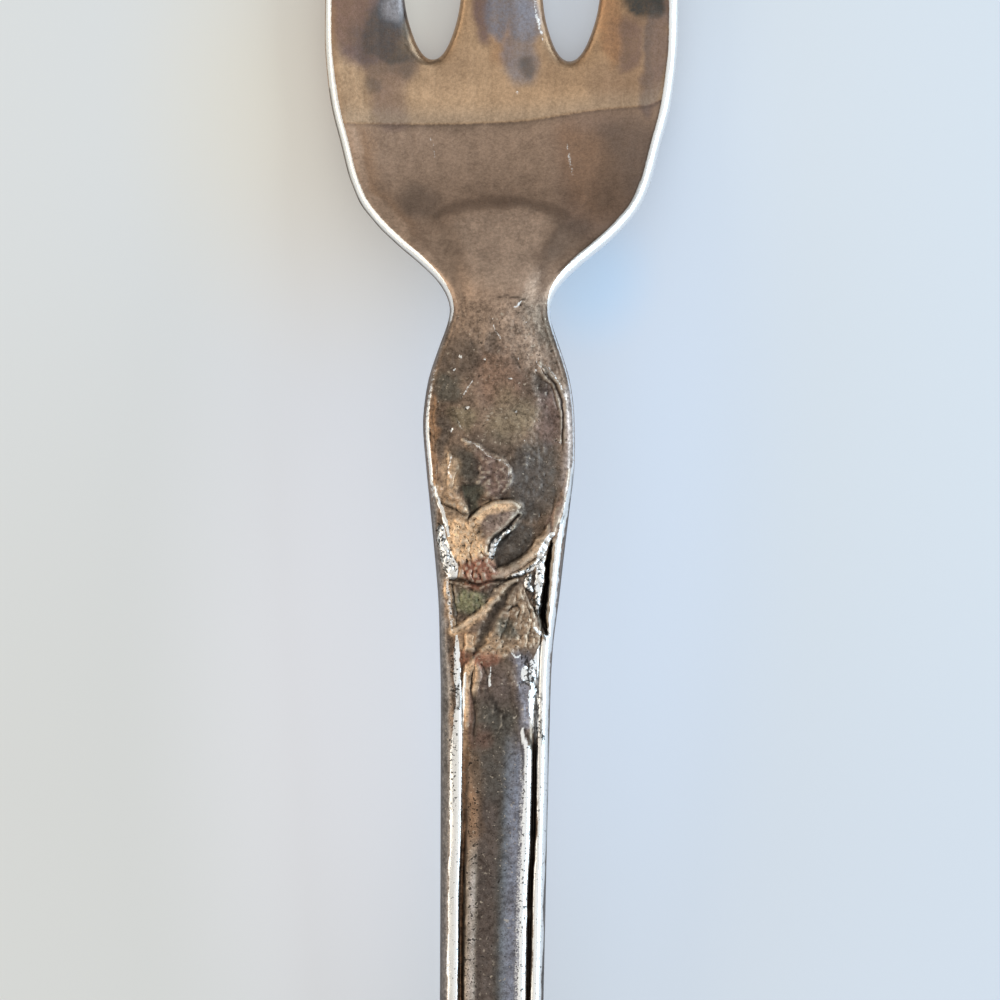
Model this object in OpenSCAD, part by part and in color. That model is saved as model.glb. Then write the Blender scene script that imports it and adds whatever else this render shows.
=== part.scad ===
// Oyster fork: a struck one-piece blank with three tines, and the silver plating over it.
// Millimetres. +Y runs from the handle's end to the tine tips, +Z is up, and the fork lies face up
// on z = 0 with the origin under the middle of its length.
// The outline, the profiles and the relief are worked out in distances from the neck, where y is 0:
// the handle is at negative y and the head at positive y.

/* [Overall] */
// Length over all, from the handle's end to the tine tips
fork_length = 155; // [140:1:170]
// Thickness of the silver plating
plating = 0.05; // [0.03:0.01:0.08]
// Rounding of the struck edges, seen in cross-section
edge_round = 0.45; // [0.3:0.05:0.6]

/* [Head] */
// Width across the three tines at their roots
head_width = 19.4; // [17:0.1:22]
// Distance from the neck to the root of the gaps between the tines
head_length = 13.7; // [12:0.1:16]
// Thickness of the metal at the tine roots
head_thickness = 1.7; // [1.3:0.1:2.2]
// How far the head's sides stand above its middle
dish_depth = 1.1; // [0.6:0.1:1.6]

/* [Tines] */
// Length of the tines, from the gap roots to the tips
tine_length = 24; // [20:0.5:29]
// Distance from the fork's axis to the middle of each gap, at its root
gap_offset = 3.75; // [3.3:0.05:4]
// Width of each gap where its rounded root ends
gap_root_width = 3; // [2.6:0.1:3.8]
// Height of the rounded root of each gap
gap_root_height = 2.9; // [2.2:0.1:3.6]
// Width of each gap near the tips
gap_tip_width = 5.7; // [4.8:0.1:6.4]
// Length of the point at the end of each tine
tip_point = 4.5; // [3:0.5:6]
// Thickness of the metal at the tips
tip_thickness = 0.9; // [0.7:0.1:1.2]

/* [Handle] */
// Width of the neck, the narrowest place between head and handle
neck_width = 5.3; // [4.6:0.1:6]
// Thickness of the neck at its middle
neck_thickness = 2.7; // [2.2:0.1:3.2]
// Width of the swelling below the neck that carries the ornament
swelling_width = 8.3; // [7:0.1:9]
// Distance from the neck to the widest place of the swelling
swelling_distance = 6.3; // [5.4:0.1:7.4]
// Length of the struck ornament below the neck
ornament_length = 21; // [18:0.5:24]
// Width of the handle where the ornament ends
shaft_width = 6; // [5.4:0.1:6.8]
// Width of the handle at its slimmest
waist_width = 5.5; // [4.8:0.1:6]
// Distance from the neck to the slimmest place of the handle
waist_distance = 62; // [54:1:66]
// Thickness of the handle at its middle
handle_thickness = 2.5; // [2.1:0.1:2.9]
// Width of the broad end of the handle
terminal_width = 12.4; // [10.4:0.1:14.4]
// Distance from the handle's end to the broadest place
terminal_distance = 13; // [11:0.5:15]
// Length of the rounding at the handle's end
terminal_round = 7; // [6:0.5:8]
// Thickness of the broad end
terminal_thickness = 2; // [1.7:0.1:2.4]

/* [Side view] */
// Height of the underside at the neck above the table
neck_rise = 6; // [4.5:0.5:7.5]
// Height of the underside at the tine tips above the table
tip_rise = 5.2; // [4:0.2:6.6]
// Height of the underside at the very end of the handle
end_rise = 0.8; // [0.4:0.1:1.4]
// Distance from the gap roots back to the place where the head rests
heel_distance = 2.2; // [1.6:0.1:2.8]
// Length of the flat place under the handle's end
rest_length = 9; // [7:0.5:11]
// Distance from the handle's end to that flat place
rest_distance = 10; // [8:0.5:12]

/* [Relief] */
// Length of the raised tongue that runs from the neck into the head
tongue_length = 5.9; // [5:0.1:7]
// Height of the step at the tongue's end
tongue_height = 0.22; // [0.1:0.02:0.3]
// Depth of the grooves beside the threads along the handle
groove_depth = 0.28; // [0.15:0.01:0.4]
// Height of the rim round the swelling
rim_height = 0.2; // [0.1:0.01:0.3]
// Width of the rim round the swelling
rim_width = 1.1; // [0.8:0.1:1.4]
// Height of the struck blossoms and leaves
blossom_height = 0.35; // [0.2:0.01:0.45]

/* [Hidden] */

// Places along the fork
handle_end = -(fork_length - head_length - tine_length);
tip = head_length + tine_length;
neck_from_middle = fork_length / 2 - tip;
rest_low = handle_end + rest_distance;
rest_high = rest_low + rest_length;
terminal_top = rest_high + rest_length;
heel = head_length - heel_distance;

// Spacing of the cross-sections, and the step for slopes
shaft_step = 6;
terminal_step = 1.9;
ornament_step = 0.95;
head_step = 1.25;
tine_step = 3.6;
root_steps = 5;
slope_step = 0.01;
whole_step_share = 0.01;
round_angles = [14, 32, 50, 70, 90];
point_angles = [26, 50, 70, 84];

// Exponents and shares of curves that no single size sets
end_width_share = 0.94;
end_thickness_share = 0.85;
gap_root_power = 0.45;
gap_widening_power = 0.85;
gap_drift_share = 0.3;
tip_narrowing_share = 0.55;
tip_narrowing_power = 1.6;
tip_closing_power = 6;
crown_power = 0.7;
edge_limit_share = 0.55;
thread_start_share = 0.86;
rim_start_share = 0.6;
column_change_shares = [-0.1, 0.5];

// Outline of the head from the neck to the gap roots: share of the length, share of the widening
head_outline_shares = [
    [0.105, 0.10], [0.18, 0.27], [0.26, 0.455], [0.34, 0.61], [0.42, 0.72], [0.50, 0.79],
    [0.66, 0.866], [0.82, 0.95]
];
// Outline from the neck to the swelling, and from the swelling to the shaft
swelling_outline_shares = [[0.27, 0.34], [0.45, 0.60], [0.64, 0.84]];
taper_outline_shares = [[0.14, 0.93], [0.30, 0.71], [0.61, 0.30], [0.80, 0.10]];
// Outline from the waist to the broad end
broadening_outline_shares = [[0.35, 0.12], [0.55, 0.32], [0.75, 0.66], [0.90, 0.93]];
// Outer sides of the outer tines: share of the tine's length, share of the head's half width
tine_outline_shares = [[0.06, 1.0], [0.35, 0.995], [0.70, 0.965], [1.0, 0.91]];

// Half width of the outline before its end is rounded
half_widths = concat(
    [
        [handle_end, terminal_width / 2 * end_width_share],
        [handle_end + terminal_distance, terminal_width / 2]
    ],
    [for (i = [len(broadening_outline_shares) - 1 : -1 : 0])
        let (at = broadening_outline_shares[i])
        [
            mix(-waist_distance, handle_end + terminal_distance, at[0]),
            mix(waist_width, terminal_width, at[1]) / 2
        ]],
    [[-waist_distance, waist_width / 2], [-ornament_length, shaft_width / 2]],
    [for (i = [len(taper_outline_shares) - 1 : -1 : 0])
        let (at = taper_outline_shares[i])
        [
            mix(-swelling_distance, -ornament_length, at[0]),
            mix(shaft_width, swelling_width, at[1]) / 2
        ]],
    [[-swelling_distance, swelling_width / 2]],
    [for (i = [len(swelling_outline_shares) - 1 : -1 : 0])
        let (at = swelling_outline_shares[i])
        [-swelling_distance * at[0], mix(neck_width, swelling_width, at[1]) / 2]],
    [[0, neck_width / 2]],
    [for (at = head_outline_shares)
        [head_length * at[0], mix(neck_width, head_width, at[1]) / 2]],
    [for (at = tine_outline_shares)
        [head_length + tine_length * at[0], head_width / 2 * at[1]]]
);

// Height of the underside: share of the way from the flat place to the neck, share of the rise
handle_rise_shares = [[0.22, 0.16], [0.45, 0.50], [0.68, 0.82], [0.88, 1.0]];
head_rise_shares = [[0, 0.94], [0.36, 0.58], [0.68, 0.18]];
tine_rise_shares = [[0.30, 0.12], [0.62, 0.44], [1.0, 1.0]];
underside_heights = concat(
    [[handle_end, end_rise], [rest_low, 0], [rest_high, 0]],
    [for (at = handle_rise_shares) [mix(rest_high, 0, at[0]), neck_rise * at[1]]],
    [for (at = head_rise_shares) [heel * at[0], neck_rise * at[1]]],
    [[heel, 0]],
    [for (at = tine_rise_shares) [mix(heel, tip, at[0]), tip_rise * at[1]]]
);

// Thickness at the middle of the width; the head thins at a share of the way to the heel
head_thinning_shares = [0.45, 0.8];
thicknesses = [
    [handle_end, terminal_thickness * end_thickness_share],
    [rest_high, terminal_thickness],
    [-waist_distance, handle_thickness],
    [-swelling_distance, neck_thickness],
    [0, neck_thickness],
    [heel * head_thinning_shares[0], mix(neck_thickness, head_thickness, head_thinning_shares[1])],
    [heel, head_thickness],
    [tip, tip_thickness]
];
// How far the face falls from its middle to its edges, and the back rises, as shares of the thickness
face_fall_shares = [
    [0, 0.10], [0.25, 0.18], [0.75, 0.18], [0.95, 0.22], [1.0, 0.26], [1.05, 0.08], [1.08, 0]
];
back_rise_shares = [
    [0, 0.22], [0.25, 0.20], [0.75, 0.22], [0.95, 0.24], [1.0, 0.28], [1.06, 0.12], [1.1, 0.08]
];
tine_fall_share = 0.16;
// Half width of the flat middle of the back, as a share of the half width
flat_back_share = 0.4;

// Columns of points across the face, as shares of the half width: on the handle they follow the
// threads, and on the head the third one runs up the middle of the gap between two tines
thread_column_shares = [0, 0.24, 0.42, 0.50, 0.58, 0.67, 0.76, 0.88, 1];
head_column_shares = [0, 0.20, 0.40, 0.52, 0.64, 0.75, 0.85, 0.93, 1];
back_column_shares = [0, 0.4, 0.7, 1];
gap_column = 2;
back_gap_column = 1;
strip_angles = [45, 0, -45];
// The thread's height across the face: share of the half width, share of the groove's depth
thread_shares = [
    [0, 0], [0.42, 0.10], [0.50, -0.45], [0.58, 0.40], [0.67, -1.0], [0.76, 0.15], [0.88, 0.35], [1, -0.2]
];

// The tongue from the neck into the head: how far its end bows back at its sides, the length of the
// step there, where it starts, and the shares of the half width over which its sides fall
tongue_bow_share = 0.16;
tongue_step_share = 0.1;
tongue_start_share = 0.3;
tongue_side_shares = [0.36, 0.66];

// The rim round the swelling: middle and half axes, as shares of the swelling's distance and width
rim_middle_shares = [0.03, 1.33];
rim_axes_shares = [0.38, 1.06];
// Blossoms and leaves below the neck: x and y of the middle, half length and half width as shares of
// the swelling's width, the direction in degrees, and the height as a share of the blossoms' height
leaf_shares = [
    [0.02, -1.39, 0.21, 0.10, 35, 1.0],
    [-0.17, -1.54, 0.19, 0.15, 80, 1.0],
    [-0.05, -1.10, 0.17, 0.14, 60, 0.7],
    [-0.31, -1.16, 0.20, 0.09, 100, 0.6],
    [0.14, -2.06, 0.24, 0.12, 65, 0.7],
    [-0.10, -1.92, 0.30, 0.06, 37, 0.6]
];
// The blossom on the broad end: petals round its middle, and a pair of leaves below and above it,
// given as x, y, half length, half width, height and direction
petal_count = 5;
petal_reach_share = 0.21;
petal_size_shares = [0.17, 0.12];
blossom_place_share = 1.02;
heart_share = 0.1;
heart_height_share = 1.3;
end_leaf_shares = [[0.17, -0.51, 0.24, 0.10, 0.7, 62], [0.13, 0.65, 0.29, 0.09, 0.7, 100]];

function mix(a, b, share) = a + (b - a) * share;
function clamp(v, low = 0, high = 1) = min(max(v, low), high);
function ease(share) = let (t = clamp(share)) t * t * (3 - 2 * t);

// A smooth curve through the rows of a table, with no overshoot between them
function rate(t, i) = (t[i + 1][1] - t[i][1]) / (t[i + 1][0] - t[i][0]);
function knot_slope(t, i) = i == 0 || i == len(t) - 1 ? 0 :
    let (a = rate(t, i - 1), b = rate(t, i)) a * b <= 0 ? 0 : 2 * a * b / (a + b);
function knot_before(t, v, i = 0) = i >= len(t) - 2 || v < t[i + 1][0] ? i : knot_before(t, v, i + 1);
function curve(t, v) =
    let (
        i = knot_before(t, v),
        span = t[i + 1][0] - t[i][0],
        s = clamp((v - t[i][0]) / span),
        a = knot_slope(t, i) * span,
        b = knot_slope(t, i + 1) * span
    )
    t[i][1] + s * a + s * s * (3 * rate(t, i) * span - 2 * a - b)
        + s * s * s * (a + b - 2 * rate(t, i) * span);

// Share of the full width left by a rounded end, at a distance from it
function rounding(distance, length) =
    let (t = clamp(1 - distance / length)) sqrt(max(0, 1 - t * t));
function half_width(y) = curve(half_widths, y) * rounding(y - handle_end, terminal_round);

// Gap between two tines: its middle and its half width, at a height above its root
function gap_middle(h) =
    gap_offset + (head_width / 4 - gap_offset) * gap_drift_share * clamp(h / tine_length);
function gap_half(h) =
    h < gap_root_height
        ? gap_root_width / 2 * pow(max(0, h / gap_root_height), gap_root_power)
        : mix(gap_root_width, gap_tip_width,
            pow((h - gap_root_height) / (tine_length - gap_root_height), gap_widening_power)) / 2;

// Left and right side of a tine: number -1, 0 or 1 from left to right
function raw_side(number, side, h) =
    number == 0 ? side * (gap_middle(h) - gap_half(h)) :
    number == side ? side * curve(half_widths, head_length + h) :
    number * (gap_middle(h) + gap_half(h));
function tine_side(number, side, h) =
    let (
        a = raw_side(number, -1, h),
        b = raw_side(number, 1, h),
        point = clamp((h - tine_length + tip_point) / tip_point)
    )
    (a + b) / 2 + side * (b - a) / 2 * (1 - tip_narrowing_share * pow(point, tip_narrowing_power))
        * sqrt(max(0, 1 - pow(point, tip_closing_power)));
function tine_middle(number, h) = (tine_side(number, -1, h) + tine_side(number, 1, h)) / 2;

// The inward normal of a side, from its slope: side is 1 on the right and -1 on the left
function inward(side, slope) = [-side, side * slope] / sqrt(1 + slope * slope);
function side_slope(y) =
    (half_width(y + slope_step) - half_width(y - slope_step)) / (2 * slope_step);
function tine_slope(number, side, h) =
    (tine_side(number, side, h + slope_step / 2) - tine_side(number, side, h - slope_step / 2)) / slope_step;

// Height of a thread, the rim, a leaf or a petal at a place on the face
function bump(x, y, middle, half_length, half_breadth, angle) =
    let (
        dx = x - middle[0],
        dy = y - middle[1],
        along = (dx * cos(angle) + dy * sin(angle)) / half_length,
        across = (-dx * sin(angle) + dy * cos(angle)) / half_breadth
    )
    pow(max(0, 1 - along * along - across * across), crown_power);
function thread_depth(y) =
    groove_depth * ease((-y / ornament_length - thread_start_share) / (1 - thread_start_share))
        * ease((y - rest_high) / rest_length);
function rim(x, y) =
    let (
        a = swelling_width * rim_axes_shares[0],
        b = swelling_distance * rim_axes_shares[1],
        dx = x - swelling_width * rim_middle_shares[0],
        dy = y + swelling_distance * rim_middle_shares[1],
        off = (sqrt(pow(dx / a, 2) + pow(dy / b, 2)) - 1) * a / (rim_width / 2)
    )
    rim_height * pow(max(0, 1 - off * off), crown_power)
        * ease((dx / a + rim_start_share) / rim_start_share);
function tongue(x, y) =
    let (
        across = share_across(x, y),
        bow = pow(across / tongue_side_shares[1], 2),
        side = (across - tongue_side_shares[0]) / (tongue_side_shares[1] - tongue_side_shares[0]),
        left = 1 - tongue_bow_share * bow - y / tongue_length
    )
    tongue_height * ease(y / (tongue_length * tongue_start_share)) * ease(left / tongue_step_share)
        * (1 - ease(side));
function leaves(x, y) =
    let (w = swelling_width)
    blossom_height * max([for (l = leaf_shares)
        l[5] * bump(x, y, [l[0], l[1]] * w, l[2] * w, l[3] * w, l[4])]);
function end_blossom(x, y) =
    let (w = terminal_width, middle = [0, handle_end + blossom_place_share * terminal_distance])
    blossom_height * max(concat(
        [heart_height_share * bump(x, y, middle, heart_share * w, heart_share * w, 0)],
        [for (i = [0 : petal_count - 1])
            let (angle = 90 + i * 360 / petal_count)
            bump(x, y, middle + petal_reach_share * w * [cos(angle), sin(angle)],
                petal_size_shares[0] * w, petal_size_shares[1] * w, angle)],
        [for (i = [0 : len(end_leaf_shares) - 1], side = [-1, 1])
            let (l = end_leaf_shares[i])
            l[4] * bump(x, y, middle + w * [side * l[0], l[1]], l[2] * w, l[3] * w,
                90 - side * (90 - l[5]))]
    ));
function relief(x, y, share) =
    y >= 0 ? tongue(x, y) :
    max(rim(x, y), leaves(x, y)) + curve(thread_shares, share) * thread_depth(y)
        + (y < terminal_top ? end_blossom(x, y) : 0);

// The face and the back of the metal
function share_across(x, y) =
    clamp(abs(x) / max(half_width(min(y, head_length)), slope_step));
function handle_place(y) = (y - handle_end) / -handle_end;
function dish(x, y) = dish_depth * ease(y / heel) * pow(2 * x / head_width, 2);
function tine_fall(x, y, number) =
    let (
        h = y - head_length,
        half = (tine_side(number, 1, h) - tine_side(number, -1, h)) / 2,
        off = clamp(abs(x - tine_middle(number, h)) / max(half, slope_step))
    )
    h <= 0 ? 0 : tine_fall_share * curve(thicknesses, y) * ease(h / gap_root_height) * off * off;
function face(x, y, number) =
    let (s = share_across(x, y), t = curve(thicknesses, y))
    curve(underside_heights, y) + dish(x, y) + t - t * curve(face_fall_shares, handle_place(y)) * s * s
        + relief(x, y, s) - tine_fall(x, y, number);
function back(x, y, number) =
    let (s = max(0, share_across(x, y) - flat_back_share) / (1 - flat_back_share))
    curve(underside_heights, y) + dish(x, y)
        + curve(thicknesses, y) * curve(back_rise_shares, handle_place(y)) * s * s + tine_fall(x, y, number);

// One rounded side of a cross-section, from the face down to the back: the outline's point, its
// inward normal and the depth of the rounding
function strip(outline, normal, depth, number, skin) =
    let (
        edge = outline + normal * depth,
        top = face(edge[0], edge[1], number) - skin,
        low = back(edge[0], edge[1], number) + skin
    )
    [for (a = strip_angles)
        let (p = outline + normal * (skin + (depth - skin) * (1 - cos(a))))
        [p[0], p[1], (top + low) / 2 + (top - low) / 2 * sin(a)]];
function face_row(left, right, shares, number, skin) =
    [for (s = shares)
        let (p = mix(left, right, s)) [p[0], p[1], face(p[0], p[1], number) - skin]];
function back_row(left, right, shares, number, skin) =
    [for (s = shares)
        let (p = mix(left, right, s)) [p[0], p[1], back(p[0], p[1], number) + skin]];
function backwards(list) = [for (i = [len(list) - 1 : -1 : 0]) list[i]];
// A closed ring: the face from left to right, the right side, the back, and the left side
function ring(left, left_normal, right, right_normal, depth, face_shares, back_shares, number, skin) =
    let (l = left + left_normal * depth, r = right + right_normal * depth)
    concat(
        face_row(l, r, face_shares, number, skin),
        strip(right, right_normal, depth, number, skin),
        backwards(back_row(l, r, back_shares, number, skin)),
        backwards(strip(left, left_normal, depth, number, skin))
    );

// Shares of the way from the left edge to the right edge, from shares counted from the middle
function both_ways(shares) =
    concat([for (i = [len(shares) - 1 : -1 : 1]) (1 - shares[i]) / 2], [for (s = shares) (1 + s) / 2]);
function face_columns(y) =
    let (
        from = ornament_length * column_change_shares[0],
        to = heel * column_change_shares[1]
    )
    mix(thread_column_shares, head_column_shares, ease((y - from) / (to - from)));
function edge_depth(half) = min(edge_round, edge_limit_share * half);

// A ring across the handle or the head
function body_ring(y, skin) =
    let (half = half_width(y), slope = side_slope(y), shares = face_columns(y))
    ring([-half, y], inward(-1, -slope), [half, y], inward(1, slope), edge_depth(half),
        both_ways(shares), both_ways(back_column_shares), 0, skin);

// The ring where the tines part: its columns meet the middles of the gaps
split = head_length - edge_round;
split_half = half_width(split);
split_edge = split_half - edge_round;
function split_columns(shares, column) =
    [for (i = [0 : len(shares) - 1])
        let (gap = gap_offset / split_edge)
        i <= column ? shares[i] / shares[column] * gap
            : mix(gap, 1, (shares[i] - shares[column]) / (1 - shares[column]))];
split_face_shares = split_columns(head_column_shares, gap_column);
split_back_shares = split_columns(back_column_shares, back_gap_column);
function split_ring(skin) =
    ring([-split_half, split], [1, 0], [split_half, split], [-1, 0], edge_round,
        both_ways(split_face_shares), both_ways(split_back_shares), 0, skin);

// Shares across one tine's own width
function inner_shares(shares, column) = [for (i = [0 : column]) shares[i] / shares[column]];
function outer_shares(shares, column) =
    [for (i = [column : len(shares) - 1]) (shares[i] - shares[column]) / (1 - shares[column])];
function mirrored(shares) = backwards([for (s = shares) 1 - s]);
function tine_shares(number, shares, column) =
    number == 0 ? both_ways(inner_shares(shares, column)) :
    number == 1 ? outer_shares(shares, column) : mirrored(outer_shares(shares, column));

// A ring across one tine, at a height above the gap roots
function tine_ring(number, h, skin) =
    let (
        y = head_length + h,
        half = (tine_side(number, 1, h) - tine_side(number, -1, h)) / 2
    )
    ring([tine_side(number, -1, h), y], inward(-1, tine_slope(number, -1, h)),
        [tine_side(number, 1, h), y], inward(1, tine_slope(number, 1, h)), edge_depth(half),
        tine_shares(number, split_face_shares, gap_column),
        tine_shares(number, split_back_shares, back_gap_column), number, skin);
// The first ring of a tine, which lies in the ring where the tines part
function tine_first_ring(number, skin) =
    let (
        at_root = function (side) [side * gap_offset, head_length],
        at_edge = function (side) [side * split_half, split],
        left = number == -1 ? at_edge(-1) : at_root(number == 0 ? -1 : 1),
        right = number == 1 ? at_edge(1) : at_root(number == 0 ? 1 : -1),
        left_normal = number == -1 ? [1, 0] : [0, -1],
        right_normal = number == 1 ? [-1, 0] : [0, -1]
    )
    ring(left, left_normal, right, right_normal, edge_round,
        tine_shares(number, split_face_shares, gap_column),
        tine_shares(number, split_back_shares, back_gap_column), 0, skin);

// Places of the cross-sections
function steps(from, to, size) =
    let (n = max(1, ceil((to - from) / size - whole_step_share))) [for (i = [1 : n]) mix(from, to, i / n)];
round_places = [for (a = round_angles) handle_end + terminal_round * (1 - cos(a))];
body_places = concat(
    round_places,
    steps(round_places[len(round_places) - 1], rest_low, terminal_step),
    steps(rest_low, rest_high, terminal_step),
    steps(rest_high, terminal_top, terminal_step),
    steps(terminal_top, -ornament_length, shaft_step),
    steps(-ornament_length, 0, ornament_step),
    steps(0, tongue_length * (1 - tongue_step_share), head_step),
    steps(tongue_length * (1 - tongue_step_share), tongue_length, head_step),
    steps(tongue_length, heel, head_step),
    [(heel + split) / 2]
);
root_places = [for (i = [1 : root_steps]) gap_root_height * pow(i / root_steps, 2)];
point_start = tine_length - tip_point;
tine_places = concat(
    root_places,
    steps(gap_root_height, point_start, tine_step),
    [for (a = point_angles) point_start + tip_point * sin(a)]
);

function body_rings(skin) = concat([for (y = body_places) body_ring(y, skin)], [split_ring(skin)]);
function tine_rings(number, skin) =
    concat([tine_first_ring(number, skin)], [for (h = tine_places) tine_ring(number, h, skin)]);

// Faces between the rings of a tube, as point numbers; a tube that runs inwards is turned over
function quad(a, b, c, d, turned) = turned ? [[a, c, b], [a, d, c]] : [[a, b, c], [a, c, d]];
function tube_faces(rows, columns, first, turned, kept) =
    [for (r = [0 : rows - 2], c = [0 : columns - 1])
        if (kept(r, c))
            let (
                a = first + r * columns + c,
                b = first + r * columns + (c + 1) % columns
            )
            each quad(a, a + columns, b + columns, b, turned)];
function cap_faces(columns, first, middle, turned) =
    [for (c = [0 : columns - 1])
        let (a = first + c, b = first + (c + 1) % columns) turned ? [middle, a, b] : [middle, b, a]];
function flat(lists) = [for (l = lists) each l];

// The whole surface as points and faces. kept says which faces of the body's tube stay.
function end_point(skin) =
    let (y = handle_end + skin) [0, y, (face(0, y, 0) + back(0, y, 0)) / 2];
function tip_point_of(number, skin) =
    let (y = tip - skin, x = tine_middle(number, tine_length))
    [x, y, (face(x, y, number) + back(x, y, number)) / 2];
function surface_points(skin) =
    concat(
        flat(body_rings(skin)),
        [end_point(skin)],
        flat([for (n = [-1 : 1]) concat(flat(tine_rings(n, skin)), [tip_point_of(n, skin)])])
    );
body_rows = len(body_places) + 1;
body_columns = len(body_ring(0, 0));
body_points = body_rows * body_columns + 1;
tine_rows = len(tine_places) + 1;
tine_columns = [for (n = [-1 : 1]) len(tine_first_ring(n, 0))];
tine_starts = [
    body_points,
    body_points + tine_rows * tine_columns[0] + 1,
    body_points + tine_rows * (tine_columns[0] + tine_columns[1]) + 2
];
surface_size = tine_starts[2] + tine_rows * tine_columns[2] + 1;
function surface_faces(first, turned, kept) =
    concat(
        tube_faces(body_rows, body_columns, first, turned, kept),
        cap_faces(body_columns, first, first + body_points - 1, !turned),
        flat([for (i = [0 : 2])
            let (start = first + tine_starts[i], last = start + (tine_rows - 1) * tine_columns[i])
            concat(
                tube_faces(tine_rows, tine_columns[i], start, turned, everywhere),
                cap_faces(tine_columns[i], last, last + tine_columns[i], turned)
            )])
    );

// Places on the underside where wear has cut through the plating, as rows and columns of the body's
// tube: the flat place under the handle's end, and the heel of the head. The blank is flush there.
back_first = 2 * len(thread_column_shares) - 1 + len(strip_angles);
back_middle = back_first + len(back_column_shares) - 1;
function row_at(y) = len([for (p = body_places) if (p < y - slope_step) p]);
worn_places = [
    [row_at(rest_low) + 1, row_at(rest_high) - 1, back_middle - 1, back_middle + 1],
    [row_at(heel) - 2, body_rows - 2, back_middle - 1, back_middle + 1]
];
function inside(place, r, c) = r >= place[0] && r < place[1] && c >= place[2] && c < place[3];
worn = function (r, c) inside(worn_places[0], r, c) || inside(worn_places[1], r, c);
plated = function (r, c) !worn(r, c);
everywhere = function (r, c) true;

// The points round a worn place, and the wall there between the outer and the inner surface
function edge_loop(place) =
    concat(
        [for (c = [place[2] : place[3] - 1]) [place[0], c]],
        [for (r = [place[0] : place[1] - 1]) [r, place[3]]],
        [for (c = [place[3] : -1 : place[2] + 1]) [place[1], c]],
        [for (r = [place[1] : -1 : place[0] + 1]) [r, place[2]]]
    );
function edge_faces(place, turned) =
    let (loop = [for (p = edge_loop(place)) p[0] * body_columns + p[1]], n = len(loop))
    flat([for (i = [0 : n - 1])
        let (a = loop[i], b = loop[(i + 1) % n])
        quad(b, a, a + surface_size, b + surface_size, turned)]);
function worn_faces(first) = tube_faces(body_rows, body_columns, first, false, worn);
both_surfaces = concat(surface_points(0), surface_points(plating));

// The struck blank, from the tine tips to the handle's end in one piece
module nickel_silver_blank() {
    color("tan")
        translate([0, neck_from_middle, 0])
            polyhedron(
                points = both_surfaces,
                faces = concat(
                    worn_faces(0),
                    surface_faces(surface_size, false, plated),
                    edge_faces(worn_places[0], true),
                    edge_faces(worn_places[1], true)
                )
            );
}

// The coat of silver over the blank, open where it has worn away
module silver_plating() {
    color("silver")
        translate([0, neck_from_middle, 0])
            polyhedron(
                points = both_surfaces,
                faces = concat(
                    surface_faces(0, false, plated),
                    surface_faces(surface_size, true, plated),
                    edge_faces(worn_places[0], false),
                    edge_faces(worn_places[1], false)
                )
            );
}

nickel_silver_blank();
silver_plating();
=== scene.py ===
import math

import bmesh
import bpy
import numpy as np
from mathutils import Euler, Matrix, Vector


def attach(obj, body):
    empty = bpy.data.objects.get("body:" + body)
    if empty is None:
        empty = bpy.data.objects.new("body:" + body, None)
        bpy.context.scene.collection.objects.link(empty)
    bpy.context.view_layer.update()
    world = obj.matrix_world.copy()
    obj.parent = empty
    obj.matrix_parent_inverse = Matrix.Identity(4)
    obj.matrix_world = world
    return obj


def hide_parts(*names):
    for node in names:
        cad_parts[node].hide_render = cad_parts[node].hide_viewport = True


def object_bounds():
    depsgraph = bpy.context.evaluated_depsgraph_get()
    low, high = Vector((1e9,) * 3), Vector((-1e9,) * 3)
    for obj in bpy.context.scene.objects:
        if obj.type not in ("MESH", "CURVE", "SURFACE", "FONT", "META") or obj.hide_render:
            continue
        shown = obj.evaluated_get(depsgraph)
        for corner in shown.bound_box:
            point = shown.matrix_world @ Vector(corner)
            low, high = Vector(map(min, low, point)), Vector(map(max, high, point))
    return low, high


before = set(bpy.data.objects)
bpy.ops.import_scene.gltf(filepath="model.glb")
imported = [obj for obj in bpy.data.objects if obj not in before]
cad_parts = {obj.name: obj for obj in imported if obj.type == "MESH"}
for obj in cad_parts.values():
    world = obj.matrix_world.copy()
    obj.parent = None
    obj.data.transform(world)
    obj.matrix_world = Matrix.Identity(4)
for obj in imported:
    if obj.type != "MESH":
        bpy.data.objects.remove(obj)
cad_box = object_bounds()

MM = 0.001

# Places along the fork, in metres: the neck is where the part's source measures from
HEAD_LENGTH = 13.7 * MM
TINE_LENGTH = 24 * MM
NECK_Y = cad_box[1].y - HEAD_LENGTH - TINE_LENGTH

# Sizes of the solids that the finished surface follows, in millimetres from the neck
HANDLE_END = (cad_box[0].y - NECK_Y) / MM
BOX_TOP = cad_box[1].z / MM
ORNAMENT_LENGTH = 21
PLATING = 0.05
EDGE_ROUND = 0.45
THICKNESS = [(HANDLE_END, 1.7), (-98.3, 2.0), (-62, 2.5), (-6.3, 2.7), (0, 2.7)]
FACE_FALL = [(HANDLE_END, 0.10), (-88, 0.18), (-29, 0.18), (-6, 0.22), (0, 0.26)]
FLAT_PLACE = (-107.3, -98.3)
HEEL_PLACE = (9.2, 13.1)
TERMINAL_WIDTH = 12.4
BLOSSOM_Y = HANDLE_END + 13.26
SWELLING_SHIFT = 0.11

# The photograph: its scale, and the fork's place in it
PHOTO_SIDE = 1000
PIXELS_PER_MM = 18.5
GAP_ROOT_PIXEL = 53
AXIS_PIXEL = 497.8
AXIS_LEAN = math.radians(0.66)
CAMERA_TILT = math.radians(1.0)
CAMERA_DISTANCE = 0.45
CAMERA_CLIP = (0.01, 10)
SENSOR = 36.0
FACE_HEIGHT = 7 * MM


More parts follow.
